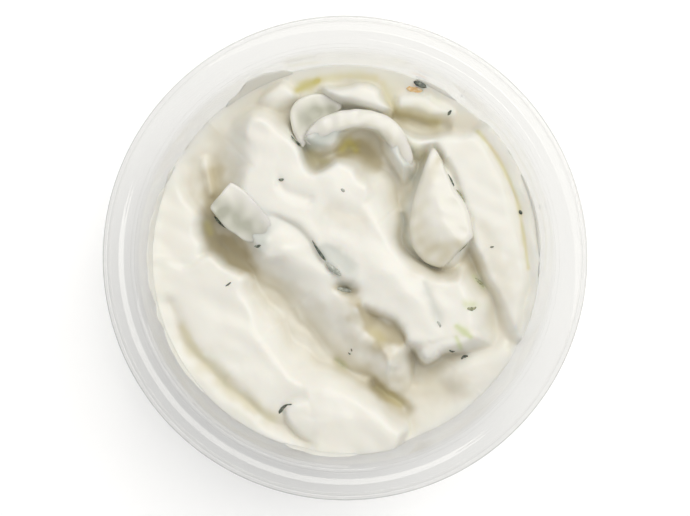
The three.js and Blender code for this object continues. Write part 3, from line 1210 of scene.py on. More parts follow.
def with_round_ends(line: Array, share: float) -> Array:
    """A line whose half width and half depth close to nearly nought at both ends.

    Args:
        line: rows of x, y, z, half width and half depth.
        share: part of the length over which each end closes.

    Returns:
        The same rows with smaller ends.
    """
    t = np.linspace(0, 1, len(line))
    near = np.clip(np.minimum(t, 1 - t) / share, 0, 1)
    scale = np.maximum(np.sqrt(near * (2 - near)), 0.04)
    out = line.copy()
    out[:, 3:5] *= scale[:, None]
    return out


def bareness(points: Array, bare: Sequence[Station]) -> Array:
    """How bare of dip each point of a piece is.

    Args:
        points: places in mm.
        bare: a line of x, y, reach and share; flesh shows near it, less and less with distance.

    Returns:
        Rows of four values for the attribute "tint".
    """
    line = smooth_line(bare)
    x, y = points[:, 0], points[:, 1]
    near = near_line(line, x, y)
    reach, most = (np.interp(near.place, np.arange(len(line)), line[:, i]) for i in (2, 3))
    share = most * np.exp(-((near.distance / reach) ** 2)) * (1 + 0.15 * waves(x, y, 3.0, 41))
    return np.repeat(np.clip(share, 0.05, 1)[:, None], 4, axis=1)


def lumpy(points: Array, depth: float, length: float, seed: int) -> Array:
    """Points pushed up and down and sideways by smooth waves, as a coat of dip leaves them.

    Args:
        points: places in mm.
        depth: how far they move.
        length: wavelength.
        seed: which pattern.

    Returns:
        The moved points.
    """
    x, y, z = points.T
    lift = depth * waves(x + z, y - z, length, seed)
    push = 0.6 * depth * waves(x - z, y + z, length, seed + 1)
    return points + np.stack([push, -push, lift], 1)


@dataclass
class CutPiece:
    """A cut piece of cucumber seen from above: an outline, and a top made of flat cut faces.

    Each cut is a plane, as height at x, y and its two slopes; the top is the lowest of them.
    bare says where flesh shows, edge how far the rim rounds off, ridge how far the ridges do, and
    seeds how yellow the flesh is.
    """

    name: str
    node: str
    outline: Sequence[Station]
    cuts: Sequence[Tuple[float, float, float, float, float]]
    base: float
    bare: Sequence[Station]
    edge: float = 0.45
    ridge: float = 0.6
    lumps: float = 0.03
    seeds: float = 0.0
    lump_length: float = 3.6
    rings: int = 26

    def top(self, x: Array, y: Array) -> Array:
        """Height of the cut faces, with the ridges between them slightly rounded.

        Args:
            x: places along X.
            y: places along Y.

        Returns:
            Heights in mm.
        """
        depth = np.full(np.shape(x), -1e3)
        for z, x0, y0, slope_x, slope_y in self.cuts:
            face = z + slope_x * (x - x0) + slope_y * (y - y0)
            depth = soft_max(depth, -face, self.ridge)
        return -depth

    def build(self, finish: bpy.types.Material) -> bpy.types.Object:
        """Builds the piece and lets it stand for its CAD node.

        Args:
            finish: the coated flesh.

        Returns:
            The object.
        """
        edge = smooth_line(self.outline, closed=True, per=9)[:-1]
        centre = edge.mean(axis=0)
        spoke = edge - centre
        reach = np.hypot(spoke[:, 0], spoke[:, 1])
        rings = []
        for t in np.linspace(1 / self.rings, 1, self.rings):
            xy = centre + spoke * t
            inward = reach * (1 - t)
            fall = np.clip(1 - inward / self.edge, 0, 1)
            z = self.top(xy[:, 0], xy[:, 1]) - self.edge * (1 - np.sqrt(1 - 0.98 * fall**2))
            rings.append(np.column_stack([xy, z]))
        lip = rings[-1]
        for t in (0.15, 0.4, 0.7, 1.0):
            xy = centre + spoke * (1 - 0.06 * t)
            rings.append(np.column_stack([xy, lip[:, 2] * (1 - t) + self.base * t]))
        count = len(edge)
        poles = np.array(
            [[*centre, float(self.top(centre[0], centre[1]))], [*centre, self.base]]
        )
        points = np.vstack([poles, *rings])
        tint = bareness(points, self.bare)
        tint[:, 1] = self.seeds
        points = lumpy(points, self.lumps, self.lump_length, len(self.name))
        faces = ring_faces(len(rings), count, 2, 0, 1)
        ahead = np.roll(edge, -1, axis=0)
        runs_left = np.sum(edge[:, 0] * ahead[:, 1] - ahead[:, 0] * edge[:, 1]) > 0
        if runs_left:
            faces = turned_over(faces)
        made = make_mesh(self.name, points, faces, finish, tint)
        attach(made, "root")
        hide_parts(self.node)
        return made


@dataclass
class Slice:
    """A curved slice of cucumber that follows a line of x, y, z, half width and half depth."""

    name: str
    node: str
    line: Sequence[Station]
    bare: Sequence[Station]
    boxy: float = 3.6
    roll: float = 8.0
    lumps: float = 0.08

    def build(self, finish: bpy.types.Material) -> bpy.types.Object:
        """Builds the slice and lets it stand for its CAD node.

        Args:
            finish: the coated flesh.

        Returns:
            The object.
        """
        line = with_round_ends(smooth_line(self.line, per=12), 0.12)
        points, faces = swept(line, self.boxy, self.roll)
        tint = bareness(points, self.bare)
        points = lumpy(points, self.lumps, 3.4, 5)
        made = make_mesh(self.name, points, faces, finish, tint)
        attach(made, "root")
        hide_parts(self.node)
        return made


@dataclass
class Scraps:
    """Many small slivers of one kind, joined in one piece.

    Each sliver is a list of stations x, y, lift, half width and half depth; lift is the height
    over the surface that it lies on.
    """

    name: str
    slot: str
    slivers: Sequence[Sequence[Station]]
    boxy: float = 2.4
    lumps: float = 0.04

    def build(self, dip: DipSurface, finish: bpy.types.Material) -> bpy.types.Object:
        """Builds all slivers of this kind.

        Args:
            dip: the surface they lie on.
            finish: their finish.

        Returns:
            The object.
        """
        parts, faces, first = [], [], 0
        for sliver in self.slivers:
            line = smooth_line(sliver, per=5)
            line[:, 2] += [dip.height_at(x, y) for x, y in line[:, :2]]
            body, sides = swept(with_round_ends(line, 0.3), self.boxy, 0, around=10)
            parts.append(lumpy(body, self.lumps, 0.9, 8))
            faces.append(sides + first)
            first += len(body)
        made = make_mesh(self.name, np.vstack(parts), np.vstack(faces), finish)
        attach(made, "root")
        return made


# ---- studio ----------------------------------------------------------------------------------


@dataclass
class Studio:
    """White board, even white room, one large soft light and a camera straight above."""

    camera_height: float = 0.55
    lens: float = 133.4
    sensor: float = 36.0
    key_azimuth: float = 55.0
    key_elevation: float = 62.0
    key_distance: float = 1.0
    key_size: float = 0.82
    key_power: float = 6.6
    key_color: str = "#fffdf8"
    aim_height: float = 0.04
    room: float = 0.48
    room_color: str = "#fdfdff"
    board_half_mm: float = 2000.0

    def build(self) -> None:
        """Builds the board, the room, the light and the camera."""
        view = bpy.context.scene.view_settings
        view.view_transform = "Standard"
        view.look = "None"
        self.build_board()
        self.build_room()
        self.build_light()
        self.build_camera()

    def build_board(self) -> None:
        """Builds the board that the tub stands on."""
        corners = np.array([[-1, -1, 0], [1, -1, 0], [1, 1, 0], [-1, 1, 0]])
        finish = PaintedFloor().build("white board")
        points = self.board_half_mm * corners
        make_mesh("floor", points, np.array([[0, 1, 2, 3]]), finish)

    def build_room(self) -> None:
        """Lights everything evenly from all sides."""
        world = bpy.data.worlds.new("white room")
        world.use_nodes = True
        back = world.node_tree.nodes["Background"]
        back.inputs["Color"].default_value = linear(self.room_color)
        back.inputs["Strength"].default_value = self.room
        bpy.context.scene.world = world

    def build_light(self) -> None:
        """Hangs the soft light high at the far right."""
        light = bpy.data.lights.new("soft box", "AREA")
        light.shape = "RECTANGLE"
        light.size = light.size_y = self.key_size
        light.energy = self.key_power
        light.color = linear(self.key_color)[:3]
        key = bpy.data.objects.new("soft box", light)
        azimuth, elevation = math.radians(self.key_azimuth), math.radians(self.key_elevation)
        flat = math.cos(elevation)
        toward = Vector(
            (flat * math.cos(azimuth), flat * math.sin(azimuth), math.sin(elevation))
        )
        key.location = Vector((0, 0, self.aim_height)) + self.key_distance * toward
        key.rotation_euler = (-toward).to_track_quat("-Z", "Y").to_euler()
        bpy.context.scene.collection.objects.link(key)

    def build_camera(self) -> None:
        """Sets the camera straight above, with +Y up in the picture."""
        data = bpy.data.cameras.new("above")
        data.lens = self.lens
        data.sensor_width = self.sensor
        data.dof.use_dof = False
        camera = bpy.data.objects.new("above", data)
        camera.location = (0, 0, self.camera_height)
        bpy.context.scene.collection.objects.link(camera)
        bpy.context.scene.camera = camera


# ---- what the spoon left: places in mm, +X right and +Y away ---------------------------------

MASSES: Tuple[Mass, ...] = (
    Mass(  # shore on the left
        (36.4, -34, 11, 0, 0), 31, 0.8, 2,
        [(-33.5, 26, 4), (-31, 19, 3.5), (-30.6, 14, 3), (-29.2, 10, 1.8), (-28.8, 6, 1.8),
         (-27.6, 2.6, 1.6), (-29, -1, 1.8), (-36, -3, 3), (-44, -2, 3), (-44, 10, 5),
         (-41, 22, 4)],
    ),
    Mass(  # lump against the wall, far left
        (37.0, -13, 33, 0, 0), 31, 0.8, 1.5,
        [(-18.5, 31, 2.5), (-16.5, 34, 2.5), (-13, 36.4, 2.2), (-10.2, 35.4, 2.2), (-9, 33, 1.6),
         (-10.6, 30.8, 2), (-14, 29, 3)],
    ),
    Mass(  # lump against the wall, far right
        (36.2, 16, 31, 0, 0.05), 31, 0.8, 1.2,
        [(10.4, 33, 2), (13.5, 33.8, 2), (17, 33.6, 2), (21, 31.4, 2.4), (22.6, 28.8, 1.8),
         (20, 27.6, 1.2), (15, 28.6, 1.5), (10.6, 28.8, 1.4)],
    ),
    Mass(  # small curl in the left valley
        (34.3, -28, 17, 0, 0), 31, 1.0, 1.2,
        [(-29.8, 20.5, 1.5), (-27.5, 21, 1.5), (-26.2, 17, 1.5), (-26.2, 13, 1),
         (-27.8, 12.4, 1), (-29.3, 15.5, 1.5)],
    ),
    Mass(  # slope near right
        (35.4, 28, -22, 0.05, 0), 32, 1.0, 2,
        [(19, -22, 3.5), (27, -18, 3.5), (34, -16, 3), (36, -21, 3), (29, -28, 3.5), (22, -28, 4)],
    ),
    Mass(  # long fold near left
        (38.0, -14, -18, 0.05, -0.02), 31, 0.9, 1.8,
        [(-44, 3, 6), (-33, 1.2, 3.5), (-27.3, 1.4, 1.5), (-23.2, -1.2, 1.6), (-19.4, -2.9, 2.6),
         (-17, -6.4, 5), (-13.4, -11.4, 6), (-9.8, -17.4, 7), (-4.6, -21.2, 6), (0.8, -23.2, 5),
         (5.2, -26, 4), (9.5, -30.2, 3), (12.9, -33.2, 2.2), (12.9, -36.4, 2.5), (9, -42, 4),
         (-6, -46, 8), (-26, -40, 8), (-42, -20, 8)],
    ),
    Mass(  # fold along the right wall
        (37.8, 28, 8, -0.02, 0.02), 31, 0.8, 1.4,
        [(10.6, 26.6, 1.4), (14, 25.6, 2), (20, 25.4, 2), (25, 27, 3), (31, 30, 4), (40, 18, 5),
         (43, 0, 5), (40, -16, 4), (34, -18, 2.6), (31, -11.5, 2.2), (28.3, -5, 1.6),
         (25.6, 1, 1.2), (25, 5, 1.4), (23.4, 11, 1.5), (20.2, 17, 1.5), (18, 21.9, 1.4),
         (15, 19.6, 3), (12.6, 20.5, 2.4), (11.4, 23, 1.6)],
    ),
    Mass(  # the great fold across the middle
        (39.4, 2, 4, 0.015, 0), 32.6, 1.5, 1.6,
        [(-24.5, 27.5, 8), (-19.5, 30.8, 4), (-13.5, 30, 3.5), (-10.6, 26, 2.5), (-8.8, 22.8, 2),
         (-7.6, 20.4, 1.8), (-5.6, 18.7, 2), (-3.4, 19.2, 2), (-1, 20.6, 2.5), (2.6, 19.6, 3),
         (4.5, 18.4, 4), (7, 17.4, 6), (9.6, 14.8, 8), (11.4, 9.4, 7), (12, 4, 4),
         (14.5, -0.2, 2.6), (19, -2.2, 3), (24, -0.6, 5), (28.6, -5.8, 5), (30.8, -12, 6),
         (30, -18, 6), (25, -19.6, 4), (20, -19.2, 2.4), (17, -21.4, 1.6), (15, -20.4, 1.4),
         (13.9, -19.8, 4), (13.8, -23.6, 9), (10, -28, 8), (6, -26, 8), (2, -23, 10),
         (-3, -19, 11), (-7, -14.5, 11), (-11, -9.5, 10), (-15, -5.6, 8), (-18.2, -2.4, 5),
         (-20, 1.4, 3), (-22.2, 5.4, 2.2), (-24.4, 9.4, 2), (-23.8, 13, 4), (-25, 17, 8),
         (-26, 22.5, 9)],
    ),
    Mass(  # inner arch, over the cucumber slice
        (38.9, 2, 27, 0, 0), 32, 0.7, 1.0,
        [(-8.8, 23.4, 1.4), (-7, 25.6, 1.5), (-4.4, 27.6, 1.5), (-1.3, 29.1, 1.5), (2.1, 29.4, 1.5),
         (7, 28.9, 1.5), (9.8, 26.6, 1.6), (11.8, 24, 1.6), (12.8, 21, 1.8), (14.4, 18, 2.4),
         (12, 15.4, 3), (9.8, 18.6, 1.8), (8, 21.6, 1.6), (7.2, 24, 1.6), (5.3, 26, 1.4),
         (2.6, 26.1, 1.4), (-0.4, 24.6, 1.4), (-2.4, 22.2, 1.2), (-4.6, 21.6, 1.2),
         (-7, 21.8, 1.2)],
    ),
    Mass(  # bed of the cucumber wedge
        (37.1, 18, 9, 0, 0), 32, 0.9, 1.6,
        [(17.6, 23, 2), (20.4, 19, 2), (25.6, 11, 2), (26.6, 4, 2), (22, -2, 2), (16, -1.6, 2),
         (12.4, 3, 2), (12, 9, 2.4), (14.4, 17, 2.4)],
    ),
    Mass(  # arch at the far side
        (39.6, -1, 33, 0.03, 0), 31, 0.8, 1.2,
        [(-6.0, 33.6, 1.2), (-4, 34.9, 1.6), (0, 35.4, 2.0), (6.5, 35.4, 2.2), (8.4, 32.5, 2),
         (10.2, 29, 0.9), (7, 28.6, 1.6), (3, 29.4, 1.8), (-0.2, 30.4, 1.8), (-2.0, 31.6, 1.4),
         (-4.0, 32.6, 1.2)],
    ),
)

LIPS: Tuple[Lip, ...] = (
    Lip((0.3, 3), (1.2, 2.8), 0.3,
        [(-16, 9.2), (-12.9, 8.6), (-9, 6.5), (-6.7, 3.9), (-5.4, 1.4), (-3, -1.4), (-0.6, -3.6),
         (1.8, -4.6), (3.4, -5.4)]),
    Lip((0.7, 3), (2.0, 4.6), 0.7,
        [(3.4, -8.6), (5.6, -10.4), (8.2, -11.1), (10.0, -12.0), (11.4, -13.4), (12.5, -15.2),
         (12.9, -17), (12.7, -18.8)]),
    Lip((0.0, 2), (1.8, 3), 0.0, [(13.2, -25.4), (13.6, -22.5), (13.7, -19.6), (13.2, -17.6)]),
    Lip((0.3, 2), (1.0, 3.2), 0.5,
        [(13.3, -16.4), (14.4, -17.9), (15.5, -19.6), (16.7, -20.6), (18.3, -19.6), (20, -18.5),
         (22.5, -18.6), (25.4, -19.6)]),
    Lip((-1.4, 2.6), (0.2, 3), 0.0, [(4.4, -25.2), (9.5, -30), (13, -33.6), (12.8, -37)]),
    Lip((0.6, 4), (1.6, 2.4), 0.3,
        [(-7.4, -28.4), (-10.4, -29), (-11.8, -30.6), (-11.2, -33), (-9, -35.4), (-5, -37.6)]),
)

BUMPS: Tuple[Station, ...] = (
    (1.0, 22.6, -3.4, 3.0, 2.0, 0),
    (4.6, 21.8, -2.6, 3.2, 3.4, 20),
    (-5.6, 20.2, -2.0, 2.4, 1.5, -15),
    (-5.8, 29.2, -1.2, 4.4, 2.0, 45),
    (0.1, -6.3, -4.0, 2.7, 1.4, -6),
    (-23.8, 2.4, -3.2, 5.6, 2.8, -48),
    (17.6, -22.4, -0.6, 5.0, 2.6, 5),
    (-17, 28.4, 0.8, 3, 2.2, 10),
    (7.4, -14.0, -2.4, 5.4, 3.4, -42),
    (-12.0, 1.8, 1.3, 4.6, 3.0, -25),
    (-17.5, 5.6, -0.6, 3.4, 1.2, -20),
    (2, 9, -0.5, 5, 2.5, -20),
    (-2, 13.5, 0.4, 5, 3, -30),
    (8, 8, 0.4, 4, 4, 0),
    (8, -3, 1.0, 6, 4, -40),
    (14, -8, 0.9, 7, 4, -50),
    (17.6, -10, -0.7, 5, 1.2, -68),
    (-24, -10, -0.5, 7, 3, -20),
    (-17, -21, -0.4, 6, 3, -40),
    (-4, -31, 0.7, 7, 4, -20),
    (6, -33, 0.4, 5, 3, -30),
    (11.4, 13, -1.2, 4, 2.5, -60),
)

CREASES: Tuple[Crease, ...] = (
    Crease(1.0, 1.6, [(9.8, 28.4), (13.5, 28.1), (17.7, 27.5), (20, 26)]),
    Crease(0.7, 1.4, [(11.8, 8.4), (12.1, 5.4), (12.9, 2.6), (15, 0.6), (18.6, -1.8)]),
    Crease(0.9, 0.6, [(-13.2, 15.2), (-11.4, 13.4), (-7.6, 11.6)]),
    Crease(1.0, 0.5, [(-8, -13), (-4, -17), (-1, -21)]),
    Crease(0.6, 1.1, [(-1.8, -20.6), (0.6, -22.2), (3.2, -23.2), (5.8, -24.6)]),
    Crease(0.9, 2.2, [(5.8, -25.6), (8.4, -27.2), (11.4, -29.2), (12.6, -31)]),
    Crease(1.5, 1.0,
           [(-35, -9), (-33, -16), (-27, -22.6), (-20, -28.8), (-13, -33.4), (-8, -36.4)]),
    Crease(1.0, 0.9, [(26.5, 25.5), (31.5, 18.5), (34.6, 10), (36.2, 2), (36.8, -6),
                      (35.6, -12), (33, -18)]),
)

# Patches of the first share are painted shade, laid into pockets, valleys, creases and the trough
# by the wall; the oil, green and cucumber patches are the dip's own colours.
PATCHES: Tuple[Patch, ...] = (
    Patch(Share.OIL, 0.9, [(-9.6, 33.8, 0.8), (-7.6, 34.9, 1.2), (-5.4, 35.7, 0.8)]),
    Patch(Share.OIL, 0.35, [(-5.4, 35.9, 0.8), (0, 36.6, 0.7), (6, 36.2, 0.8)]),
    Patch(Share.OIL, 0.3, [(7.6, 35, 0.8), (8.8, 32.6, 1.0), (10, 30, 1.0), (15, 29.2, 1.3),
                           (19, 27.6, 1)]),
    Patch(Share.OIL, 0.3, [(11.8, 23.6, 0.9), (14.4, 21.6, 1.2), (16.8, 20.4, 0.8)]),
    Patch(Share.OIL, 0.6,
          [(26.6, 25.4, 0.35), (30.4, 20.6, 0.4), (34, 13, 0.4), (35.6, 6, 0.4),
           (36.8, -2, 0.35)]),
    Patch(Share.OIL, 0.25,
          [(-32.6, -14, 0.8), (-30, -18.5, 1.1), (-23, -26, 1.4), (-15, -32, 1.2)]),
    Patch(Share.OIL, 0.9, [(-0.6, 22.2, 0.8), (0.8, 23.4, 1.1), (2.2, 22, 0.8)]),
    Patch(Share.OIL, 0.3, [(-7.2, 21.2, 0.7), (-6, 19.9, 0.9), (-3.6, 19.6, 0.7)]),
    Patch(Share.OIL, 0.3, [(6.5, -26.3, 0.5), (9, -28, 0.7), (11.2, -29.6, 0.7)]),
    Patch(Share.OIL, 0.5, [(-28, 7, 0.7), (-27.2, 5, 0.8)]),
    Patch(Share.OIL, 0.25, [(5.6, -15.0, 0.9), (7.4, -16.4, 0.9)]),
    Patch(Share.PAINTED_SHADE, 0.15, [(8.4, -19.4, 1.6), (11.8, -19.2, 1.4)]),
    Patch(Share.PAINTED_SHADE, 0.9, [(-27.6, 5.4, 1.3), (-24.5, 2.6, 2.0), (-22, 0.4, 2.2),
                              (-20.2, -1.6, 1.6)]),
    Patch(Share.PAINTED_SHADE, 0.7, [(-27.4, 9, 1.5), (-27, 13, 2.4), (-26.8, 17, 2.4)]),
    Patch(Share.PAINTED_SHADE, 0.15, [(-27, 20, 3), (-25.5, 24, 3)]),
    Patch(Share.PAINTED_SHADE, 0.35, [(-18, -3.4, 2), (-12, -7.6, 2.6), (-6, -14, 3), (2, -21, 2.6),
                               (8, -25, 2.4)]),
    Patch(Share.PAINTED_SHADE, 1.0,
          [(2.6, -9.4, 1.4), (4.4, -12.0, 2.2), (7.0, -14.2, 2.9), (9.4, -15.4, 2.7),
           (11.4, -16.0, 1.9)], 2.6),
    Patch(Share.PAINTED_SHADE, 0.35, [(4.6, -17.0, 2.0), (8.0, -18.6, 2.0)]),
    Patch(Share.PAINTED_SHADE, 0.6, [(-1.8, -5.9, 0.9), (0.4, -6.5, 1.2), (2.0, -6.6, 0.8)]),
    Patch(Share.PAINTED_SHADE, 0.7, [(-0.6, 21.6, 1.1), (2.6, 22.4, 1.5), (5.2, 20.8, 1.8),
                              (6.8, 19.2, 1.4)]),
    Patch(Share.PAINTED_SHADE, 0.6, [(6.5, -26.3, 0.7), (9, -28, 0.9), (11.2, -29.6, 0.8)]),
    Patch(Share.PAINTED_SHADE, 0.6, [(10, 28.8, 0.9), (14, 28.4, 1.1), (18, 27.4, 1.0)]),
    Patch(Share.PAINTED_SHADE, 0.4, [(12.4, -26.6, 2.4), (17, -27, 2.6), (23, -25.6, 2.2)]),
    Patch(Share.PAINTED_SHADE, 0.3, [(14, -2, 1.4), (20, -3.6, 1.6), (27, -1.4, 1.6)]),
    Patch(Share.PAINTED_SHADE, 0.12, [(-1.6, -8.6, 1.8), (1, -12.4, 2.2), (4.6, -18, 2.2)]),
    Patch(Share.PAINTED_SHADE, 0.25, [(27.4, 6, 1.6), (30, 1, 2), (32, -6, 2)]),
    Patch(Share.PAINTED_SHADE, 0.3, [(-3, 9.6, 1.6), (0.4, 8, 2), (3, 7, 1.6)]),
    Patch(Share.PAINTED_SHADE, 0.35, [(-33, -14, 1.2), (-30, -19, 1.6), (-25, -24.4, 1.8), (-18, -30, 1.6),
                               (-13, -33.4, 1.2)]),
    Patch(Share.GREEN, 0.9, [(22.3, -13.6, 0.6), (23.8, -14.8, 0.8), (25, -15.7, 0.5)]),
    Patch(Share.GREEN, 0.8, [(22.2, -15.8, 0.4), (22.8, -17, 0.6), (23.4, -18, 0.4)]),
    Patch(Share.GREEN, 0.6, [(24.2, -9.2, 0.8), (25.6, -9.4, 0.8)]),
    Patch(Share.GREEN, 0.5, [(26, -3.6, 0.5), (28, -5.8, 0.5)]),
    Patch(Share.GREEN, 0.4, [(-1.6, -20.6, 0.5), (0.2, -21.8, 0.6)]),
    Patch(Share.CUCUMBER, 0.85, [(-19.6, 8.2, 2.4), (-17.4, 5.4, 2.4), (-16.4, 3.2, 1.6)]),
    Patch(Share.CUCUMBER, 0.35, [(-13, 8, 1), (-9.4, 6.4, 1), (-6.4, 3.6, 0.8)]),
    Patch(Share.CUCUMBER, 0.7, [(-6.8, 22.8, 1.4), (-4.4, 23.4, 1.8), (-2, 25, 1.2)], 3.0),
    Patch(Share.CUCUMBER, 0.5, [(-7, 23.0, 1.4), (-3, 26.6, 1.8), (3, 28.2, 1.5), (8, 26.4, 1.6),
                                (11.6, 20.2, 1.5), (13.4, 16.6, 1.2)]),
    Patch(Share.CUCUMBER, 0.6, [(11.6, 9, 0.8), (12.2, 6, 0.9), (12.7, 3.2, 0.9), (14.8, 1, 0.8),
                                (17.4, -1.6, 0.6)]),
    Patch(Share.CUCUMBER, 0.35, [(15.4, 18, 1), (14, 13.6, 1.2), (13, 10, 1)]),
    Patch(Share.CUCUMBER, 0.4, [(16, -5, 0.7), (17.5, -9.6, 0.8), (18.8, -13, 0.8)]),
    Patch(Share.CUCUMBER, 0.5, [(-0.8, -5, 0.8), (1.2, -5.4, 0.8)]),
    Patch(Share.CUCUMBER, 0.7, [(-4, 1.8, 1.4), (-1.6, 0.4, 2.0), (0.6, -2, 1.6)], 3.0),
)

CUT_PIECES: Tuple[CutPiece, ...] = (
    CutPiece(
        "cucumber_dice", "cucumber_dice_left",
        [(-26.9, 9.95), (-26.6, 10.7), (-25, 12.6), (-23.4, 14.5), (-22.4, 14.9), (-19.6, 13),
         (-16.4, 9.6), (-14.6, 6.6), (-16, 3.6), (-19.4, 3.2), (-22, 4.8), (-24, 6.2),
         (-26.4, 9.2)],
        [(39.5, -24, 9.6, -0.04, 0.03), (39.5, -19, 7, -0.02, 0.12)],
        33.0,
        [(-26, 9.8, 2.6, 1), (-22, 8, 3.2, 0.95), (-18, 5, 3, 0.9)],
    ),
    CutPiece(
        "cucumber_wedge", "cucumber_wedge_right",
        [(18, 21.9), (19.3, 19.9), (20, 18), (20.7, 16.6), (21.9, 14.2), (23.9, 11.2), (25, 8.6),
         (25.6, 4.8), (25.1, 3.6), (23, 1.4), (20.9, -0.9), (19.1, -1.9), (16.2, -0.9),
         (13.9, 1.6), (12.9, 4.8), (13, 8.6), (14, 13), (15.6, 17.6), (16.9, 21.2)],
        [(40.0, 18.0, 12, -0.13, -0.1), (40.0, 17.8, 12, 0.32, -0.02),
         (40.2, 18.4, 6.5, 0.2, 0.28)],
        33.0,
        [(18.6, 19.6, 0.9, 0.5), (15.6, 14, 1.8, 0.25), (14.4, 8, 2.4, 0.35),
         (15.4, 3.4, 2.8, 0.5), (18.8, 1.0, 2.6, 0.65), (22.6, 2.6, 1.4, 0.6)],
        edge=1.3, lumps=0.04, seeds=0.8,
    ),
    CutPiece(
        "cucumber_chunk", "cucumber_chunk_middle",
        [(-6.2, 2.0), (-4.4, 3.2), (-1.4, 2.9), (1.4, 1.0), (2.8, -1.6), (2.0, -3.9), (-0.4, -4.4),
         (-2.2, -3.4), (-3.6, -1.7), (-5.2, 0.4)],
        [(39.3, -1.6, 0, -0.04, -0.04), (39.4, -2, -0.4, 0.25, 0.25)],
        34.0,
        [(-5, 0.6, 1.4, 0.7), (-2.6, -0.6, 2.0, 0.5), (0, -2.8, 1.6, 0.6)],
        edge=0.9, lumps=0.05,
    ),
    CutPiece(
        "cucumber_slice_outer", "cucumber_slice_top_outer",
        [(-11.0, 29.4), (-9.9, 31.4), (-7.2, 32.9), (-4.0, 33.0), (-1.4, 32.0), (-0.6, 30.4),
         (-2.4, 28.8), (-4, 27.6), (-6, 25.6), (-8, 22.8), (-8.8, 22.3), (-9.9, 24.0),
         (-10.8, 26.6)],
        [(36.0, -6, 29.4, -0.13, 0.07)],
        33.0,
        [(-9.4, 25, 1.2, 0.5), (-7.6, 28.2, 2.4, 1), (-5.0, 29.4, 2.4, 1), (-2.4, 29.8, 1.8, 0.8)],
        edge=0.7, lumps=0.04,
    ),
)

SLICES: Tuple[Slice, ...] = (
    Slice(
        "cucumber_slice_inner", "cucumber_slice_top_inner",
        [(-7.6, 23.0, 36.6, 1.3, 1.6), (-5, 25.4, 37.1, 2.0, 1.8), (-1.4, 27.2, 37.3, 2.1, 1.8),
         (3, 27.8, 37.4, 1.9, 1.8), (7, 27.0, 37.4, 1.9, 1.8), (9.8, 24.6, 37.2, 2.0, 1.8),
         (11.3, 21.4, 36.8, 2.0, 1.6), (12.6, 18.2, 36.2, 1.8, 1.6)],
        [(-6, 24.6, 1, 0.2), (-2, 26, 1.2, 0.3), (4, 26.6, 1.2, 0.35), (8.4, 24.6, 1.3, 0.4),
         (11.4, 20.6, 1.4, 0.5)],
    ),
)

SKIN: Tuple[Sequence[Station], ...] = (
    [(-26.5, 8.5, 0.9, 0.16, 0.3), (-25.3, 7.2, 0.9, 0.34, 0.5), (-23.8, 5.9, 0.8, 0.14, 0.3)],
    [(20.6, 16.9, 0.9, 0.1, 0.3), (21.2, 15.7, 1.0, 0.22, 0.4), (21.9, 14.3, 0.9, 0.12, 0.3)],
    [(-6.6, 3.6, 0.2, 0.12, 0.2), (-5.6, 1.9, 0.25, 0.24, 0.3), (-4.6, 0.4, 0.25, 0.3, 0.4),
     (-3.8, -0.6, 0.2, 0.16, 0.3)],
    [(-10.9, 24.7, 0.6, 0.08, 0.2), (-9.9, 23.5, 0.8, 0.14, 0.3), (-8.9, 22.5, 0.8, 0.36, 0.4)],
)

OLIVE_SKIN: Tuple[Sequence[Station], ...] = (
    [(22.3, 13.8, 0.8, 0.16, 0.3), (23.1, 12.5, 0.8, 0.32, 0.4), (24.0, 11.0, 0.8, 0.16, 0.3)],
    [(25.2, 3.9, 0.6, 0.1, 0.3), (24.2, 2.7, 0.6, 0.22, 0.3), (22.8, 1.2, 0.5, 0.12, 0.3)],
    [(26.2, -4.0, 0.05, 0.2, 0.1), (27.3, -5.1, 0.05, 0.4, 0.15), (28.1, -6.0, 0.05, 0.15, 0.1)],
    [(24.3, -10.0, 0.0, 0.3, 0.1), (25.4, -10.2, 0.0, 0.35, 0.1), (26.4, -9.6, 0.0, 0.2, 0.1)],
)

